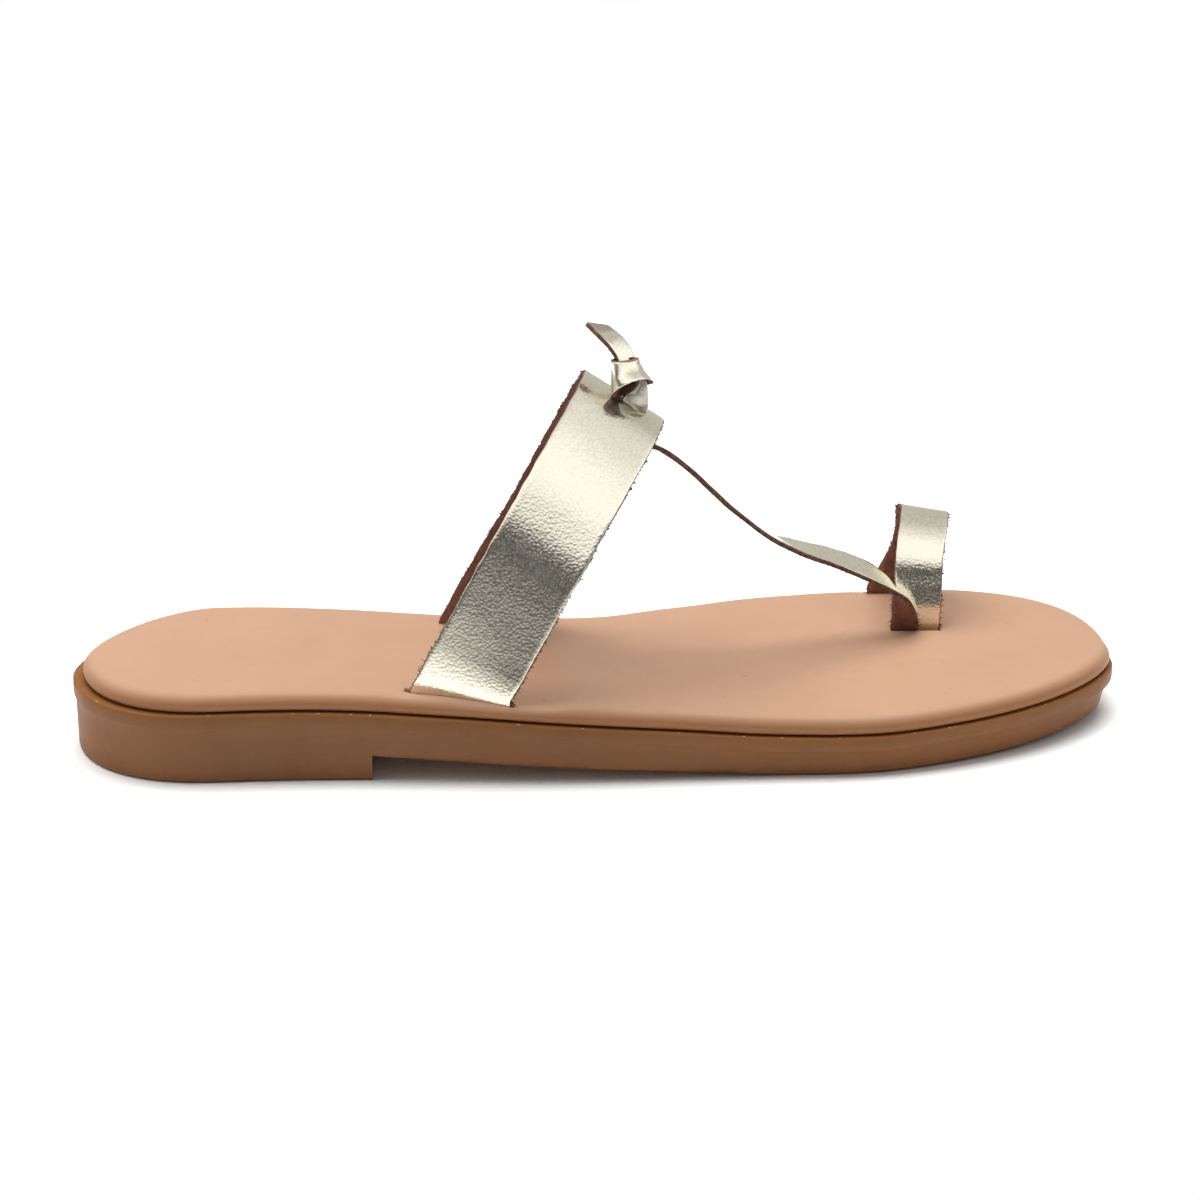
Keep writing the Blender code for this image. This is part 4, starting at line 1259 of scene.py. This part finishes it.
def speckled_material(name, speckle, stops, rough, relief=None):
    """Material with one noise of a scale, detail and roughness through colours of 0 to 255 values."""
    material, tree, shader, place = nodes_of(name)
    grain = noise(tree, place, *speckle)
    tone = ramp(tree, grain, [(position, linear(*colour)) for position, colour in stops])
    tree.links.new(tone, shader.inputs["Base Color"])
    shader.inputs["Roughness"].default_value = rough
    if relief is not None:
        bump(tree, shader, ((grain, *relief),))
    return material


def edge_material():
    stops = ((0.3, (72, 46, 34)), (0.5, (110, 78, 60)), (0.72, (146, 116, 96)))
    return speckled_material("strap_cut_edge", (1100, 4.0, 0.7), stops, 0.9, (0.8, 0.22))


def fibre_material():
    stops = ((0.35, (60, 38, 28)), (0.65, (104, 74, 56)))
    return speckled_material("strap_fibre", (400, 1.0, 0.5), stops, 0.9)


def glue_material():
    stops = ((0.35, (206, 170, 140)), (0.65, (232, 206, 182)))
    return speckled_material("dried_glue", (600, 1.0, 0.5), stops, 0.45)


def glue_specks(material):
    """Small beads of dried glue squeezed out along the seam under the insole."""
    bm = bmesh.new()
    ring = fine_outline()
    top = seam_at(ring[:, 0])
    flat = inset_ring(ring, np.full(len(ring), GLUE_INSET))
    for _ in range(GLUE_COUNT):
        i = int(RNG.integers(0, len(ring)))
        j = (i + 1) % len(ring)
        middle = Vector((flat[i][0], flat[i][1], top[i] + GLUE_RISE))
        ahead = Vector((flat[j][0], flat[j][1], top[j] + GLUE_RISE)) - middle
        if ahead.length < 1e-6:
            continue
        ahead.normalize()
        length = RNG.uniform(0.25, 1.1) * MM
        radius = RNG.uniform(0.10, 0.2) * MM
        sizes = Matrix.Diagonal((length, radius, radius * 0.8, 1))
        side = Vector((0, 0, 1)).cross(ahead).normalized()
        turn = Matrix((ahead, side, ahead.cross(side))).transposed().to_4x4()
        place = Matrix.Translation(middle) @ turn @ sizes
        bmesh.ops.create_icosphere(bm, subdivisions=2, radius=0.5, matrix=place)
    return new_mesh("glue_specks", bm, [material])


# Knot


def photo_point(x, y, depth):
    """Place on the plane Y = depth that is seen at a pixel of the 1200 pixel frame."""
    right, down = (x - FRAME_MIDDLE) / FOCAL_PIXELS, (y - FRAME_MIDDLE) / FOCAL_PIXELS
    way = VIEW_RIGHT * right - VIEW_UP * down - VIEW_BACK
    return CAMERA_PLACE + way * ((depth - CAMERA_PLACE.y) / way.y)


class SleeveRow(NamedTuple):
    """One ring of the knot's sleeve: middle pixel; half width, half depth, rise of right and front in mm."""

    x: float
    y: float
    wide: float
    deep: float
    right_rise: float
    front_rise: float


SLEEVE_ROWS = [SleeveRow(*row) for row in (
    (631.0, 390.5, 4.9, 5.0, 1.6, 3.8),
    (630.2, 386.5, 4.75, 4.7, 1.5, 3.3),
    (628.6, 380.0, 4.35, 4.1, 1.2, 2.3),
    (627.2, 373.0, 3.95, 3.4, 0.8, 1.2),
    (625.8, 366.0, 3.6, 2.8, 0.4, 0.5),
    (624.8, 359.5, 3.4, 2.3, 0.2, 0.1),
)]
SLEEVE_DEPTH = -13.6 * MM
SLEEVE_WALL = 1.15 * MM


def sleeve_point(share, turn, inset):
    """Point of the sleeve's wall at a share of the way up and an angle round it."""
    steps = np.linspace(0, 1, len(SLEEVE_ROWS))
    values = [np.interp(share, steps, column) for column in zip(*SLEEVE_ROWS)]
    x, y, wide, deep, right_rise, front_rise = values
    middle = photo_point(x, y, SLEEVE_DEPTH)
    # The mouth has a lobe on its right, and the whole wall is puckered a little.
    lobe = 0.5 * math.exp(-(((turn + 0.15) / 0.55) ** 2)) * max(0.0, 1 - 1.7 * share)
    pucker = 0.05 * math.sin(5 * turn + 1.3) * (0.4 + share)
    wide = (wide + lobe + pucker) * MM - inset
    deep = (deep + pucker) * MM - inset
    tilt = front_rise if turn < 0 else 0.5 * front_rise
    rise = (math.cos(turn) * right_rise - math.sin(turn) * tilt) * MM
    return middle + Vector((math.cos(turn) * wide, math.sin(turn) * deep, rise))


def knot_sleeve(name, materials):
    """Short sleeve that the strap makes round itself, with its mouth turned to the outer side."""
    around, up = 72, 16
    bm = bmesh.new()
    outer, inner = [], []
    turns = [2 * math.pi * i / around - math.pi for i in range(around)]
    for rings, inset, finish in ((outer, 0.0, GRAIN), (inner, SLEEVE_WALL, FLESH)):
        for j in range(up + 1):
            rings.append([bm.verts.new(sleeve_point(j / up, turn, inset)) for turn in turns])
        for low, high in zip(rings, rings[1:]):
            bridge(bm, low, high, finish)
    bridge(bm, outer[0], inner[0], EDGE)
    bridge(bm, outer[-1], inner[-1], EDGE)
    return new_mesh(name, bm, materials)


class StemRow(NamedTuple):
    """One ring of the strap below the knot: middle pixel, depth, half width and half depth in mm."""

    x: float
    y: float
    depth: float
    wide: float
    deep: float


STEM_ROWS = [StemRow(*row) for row in (
    (641.0, 414.5, -11.4, 1.0, 0.9),
    (637.0, 409.0, -12.0, 2.5, 1.6),
    (634.5, 402.0, -12.8, 3.4, 2.0),
    (637.5, 394.0, -13.4, 2.7, 1.8),
    (640.5, 386.0, -13.6, 1.8, 1.4),
    (641.5, 377.0, -13.6, 1.2, 1.0),
)]


def knot_stem(name, materials):
    """The gathered strap between the band's slit and the sleeve, with one soft fold down its front."""
    around, up = 40, 22
    steps = np.linspace(0, 1, len(STEM_ROWS))
    bm = bmesh.new()
    rings = []
    for j in range(up + 1):
        x, y, depth, wide, deep = (np.interp(j / up, steps, column) for column in zip(*STEM_ROWS))
        middle = photo_point(x, y, depth * MM)
        ring = []
        for i in range(around):
            turn = 2 * math.pi * i / around
            fold = 1 + 0.10 * math.exp(-(((turn - 4.55) / 0.35) ** 2))
            fold -= 0.05 * math.exp(-(((turn - 5.4) / 0.4) ** 2))
            offset = Vector((math.cos(turn) * wide, math.sin(turn) * deep, -0.25 * math.cos(turn) * wide))
            ring.append(bm.verts.new(middle + offset * fold * MM))
        rings.append(ring)
    for low, high in zip(rings, rings[1:]):
        bridge(bm, low, high)
    bm.faces.new(rings[0])
    bm.faces.new(rings[-1])
    return new_mesh(name, bm, materials)


# Scene


def main():
    for obj in list(bpy.context.scene.objects):
        if obj.type in ("LIGHT", "CAMERA"):
            bpy.data.objects.remove(obj)
    gold = metallic_material("instep_metallic_leather")
    gold_toe = metallic_material("toe_metallic_leather")
    gold_knot = metallic_material("knot_metallic_leather", 1.2, 0.6, 1.0, 0.05)
    # The stem's foil is the straps' foil tinted darker: painted shade under the sleeve.
    gold_stem_shaded = metallic_material("stem_metallic_leather_painted_shade", 1.2, 0.8, 0.55, 0.14)
    flesh, edge, loose = flesh_material(), edge_material(), fibre_material()

    outsole = fine_outsole([outsole_material()])
    insole = fine_insole([insole_material()])
    coarse_instep = arch_sections(
        INSTEP_ROWS, INSTEP_LATERAL, INSTEP_MEDIAL, INSTEP_RISE, INSTEP_LEAN, INSTEP_WIDTH, Vector((0, 0, 0))
    )
    coarse_toe = arch_sections(
        TOE_LOOP_ROWS, TOE_INNER, TOE_OUTER, TOE_LOOP_RISE, TOE_LOOP_LEAN, TOE_LOOP_WIDTH, LAYER_STEP
    )
    slit = slit_frame(coarse_instep)
    instep_sections = resample(coarse_instep, FINE_STRAP_STEP)
    toe_sections = resample(coarse_toe, FINE_STRAP_STEP)
    # The toe strap's strip ends where it has come through the slit. The knot's stem goes on from there.
    strap_sections = []
    for section in resample(toe_strap_sections(slit), FINE_TOE_STRAP_STEP):
        way = section.centre - slit[0]
        if way.dot(slit[3]) > STRIP_END_RISE and way.length < STRIP_END_REACH:
            break
        strap_sections.append(section)
    instep = leather_strip("instep_band", instep_sections, BAND_COLUMNS, [gold, flesh, edge], shape=instep_bow)
    opening = (0.62 * SLIT_LENGTH, 0.7 * SLIT_WIDTH, 4 * LEATHER)
    apply_cut(instep, box_solid(slit[0], slit[1:], opening, [edge]))
    narrow = [gold_toe, flesh, edge]
    toe_loop = leather_strip("toe_loop_band", toe_sections, LOOP_COLUMNS, narrow, NARROW_ROUGH, toe_loop_lean)
    toe_strap = leather_strip("toe_strap_strip", strap_sections, TOE_STRAP_COLUMNS, narrow)
    sleeve = knot_sleeve("knot_sleeve", [gold_knot, flesh, edge])
    stem = knot_stem("knot_stem", [gold_stem_shaded])
    tail_fine = resample_tail(tail_sections(slit))
    tail = leather_strip("knot_tail", tail_fine, TAIL_COLUMNS, [gold_knot, flesh, edge], NARROW_ROUGH)
    glue = glue_specks(glue_material())
    hairs = [
        (fibres("instep_fibres", instep_sections, BAND_FIBRES, loose, shape=instep_bow), "instep_strap"),
        (fibres("toe_loop_fibres", toe_sections, NARROW_FIBRES, loose, shape=toe_loop_lean), "toe_loop"),
        (fibres("toe_strap_fibres", strap_sections, NARROW_FIBRES, loose), "toe_strap"),
    ]

    pieces = (
        (outsole, "outsole"),
        (insole, "insole"),
        (instep, "instep_strap"),
        (toe_loop, "toe_loop"),
        (toe_strap, "toe_strap"),
        (sleeve, "knot"),
        (stem, "knot"),
        (tail, "knot"),
    )
    for piece, node in pieces:
        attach(piece, "root")
        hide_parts(node)
    for piece, node in hairs + [(glue, "outsole")]:
        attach(piece, "root")
    studio()


def resample_tail(sections):
    """The tail's fine sections, with its slanted cut kept at the end."""
    body = resample(sections[:-1], FINE_TAIL_STEP)
    return body + [sections[-1]]


# Tone of the studio in reflections by the height of the direction, from straight down to straight up
STUDIO_TONES = (
    (-1.0, 0.95),
    (-0.225, 0.95),
    (-0.156, 0.6),
    (-0.122, 0.38),
    (-0.087, 0.25),
    (-0.061, 0.12),
    (-0.035, 0.04),
    (0.108, 0.04),
    (0.132, 0.15),
    (0.158, 0.6),
    (0.19, 1.15),
    (0.259, 1.3),
    (0.56, 1.4),
    (0.766, 1.0),
    (0.91, 0.8),
    (1.0, 0.6),
)


# The floor ends just in front of the sandal, so that the picture is white below it.
FLOOR_CORNERS = ((-0.6, -0.13, 0), (0.6, -0.13, 0), (0.6, 0.8, 0), (-0.6, 0.8, 0))
# Name, place, width, depth and power of each light, all of them aimed at the origin
LIGHTS = (
    ("overhead", (-0.05, 0.3, 1.3), 1.6, 1.1, 34),
    ("left_panel", (-1.3, 0.0, 0.6), 0.7, 0.7, 3.4),
    ("right_panel", (1.3, 0.0, 0.6), 0.7, 0.7, 3.0),
)


def studio():
    """Pale floor, soft lights and the photograph's camera."""
    bm = bmesh.new()
    for corner in FLOOR_CORNERS:
        bm.verts.new(corner)
    bm.faces.new(bm.verts)
    material, tree, shader, place = nodes_of("pale_floor")
    shader.inputs["Base Color"].default_value = (0.96, 0.96, 0.96, 1)
    shader.inputs["Roughness"].default_value = 0.8
    shader.inputs["Specular IOR Level"].default_value = 0.1
    floor = new_mesh("floor", bm, [material])

    # The world is white behind the object and dim all round. In reflections it is a studio:
    # a pale ground, a dark horizon and a wide bright screen in front, and grey behind.
    world = bpy.data.worlds.new("studio")
    bpy.context.scene.world = world
    world.use_nodes = True
    tree = world.node_tree
    background = tree.nodes["Background"]
    place = tree.nodes.new("ShaderNodeTexCoord")
    split = tree.nodes.new("ShaderNodeSeparateXYZ")
    tree.links.new(place.outputs["Generated"], split.inputs[0])
    stops = [((height + 1) / 2, (tone, tone, tone)) for height, tone in STUDIO_TONES]
    front = ramp(tree, spread(tree, split.outputs["Z"], -1.0, 1.0, 0.0, 1.0), stops)
    around = mix(tree, spread(tree, split.outputs["Y"], -0.15, 0.35, 0.0, 1.0), front, (0.55, 0.54, 0.51))
    path = tree.nodes.new("ShaderNodeLightPath")
    seen = mix(tree, path.outputs["Is Glossy Ray"], (0.24, 0.24, 0.24), around)
    seen = mix(tree, path.outputs["Is Camera Ray"], seen, (1.0, 1.0, 1.0))
    tree.links.new(seen, background.inputs["Color"])

    for light in LIGHTS:
        add_light(*light).visible_glossy = False

    camera = bpy.data.cameras.new("camera")
    camera.lens = 121.5
    camera.sensor_width = 36
    camera.clip_start = 0.01
    obj = bpy.data.objects.new("camera", camera)
    bpy.context.scene.collection.objects.link(obj)
    obj.location = CAMERA_PLACE
    aim(obj, CAMERA_AIM)
    bpy.context.scene.camera = obj
    bpy.context.scene.view_settings.view_transform = "Standard"


def aim(obj, target):
    way = Vector(target) - obj.location
    obj.rotation_euler = way.to_track_quat("-Z", "Y").to_euler()


def add_light(name, place, width, depth, power):
    data = bpy.data.lights.new(name, "AREA")
    data.shape = "RECTANGLE"
    data.size = width
    data.size_y = depth
    data.energy = power
    obj = bpy.data.objects.new(name, data)
    bpy.context.scene.collection.objects.link(obj)
    obj.location = place
    aim(obj, (0, 0, 0))
    return obj


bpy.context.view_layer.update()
main()
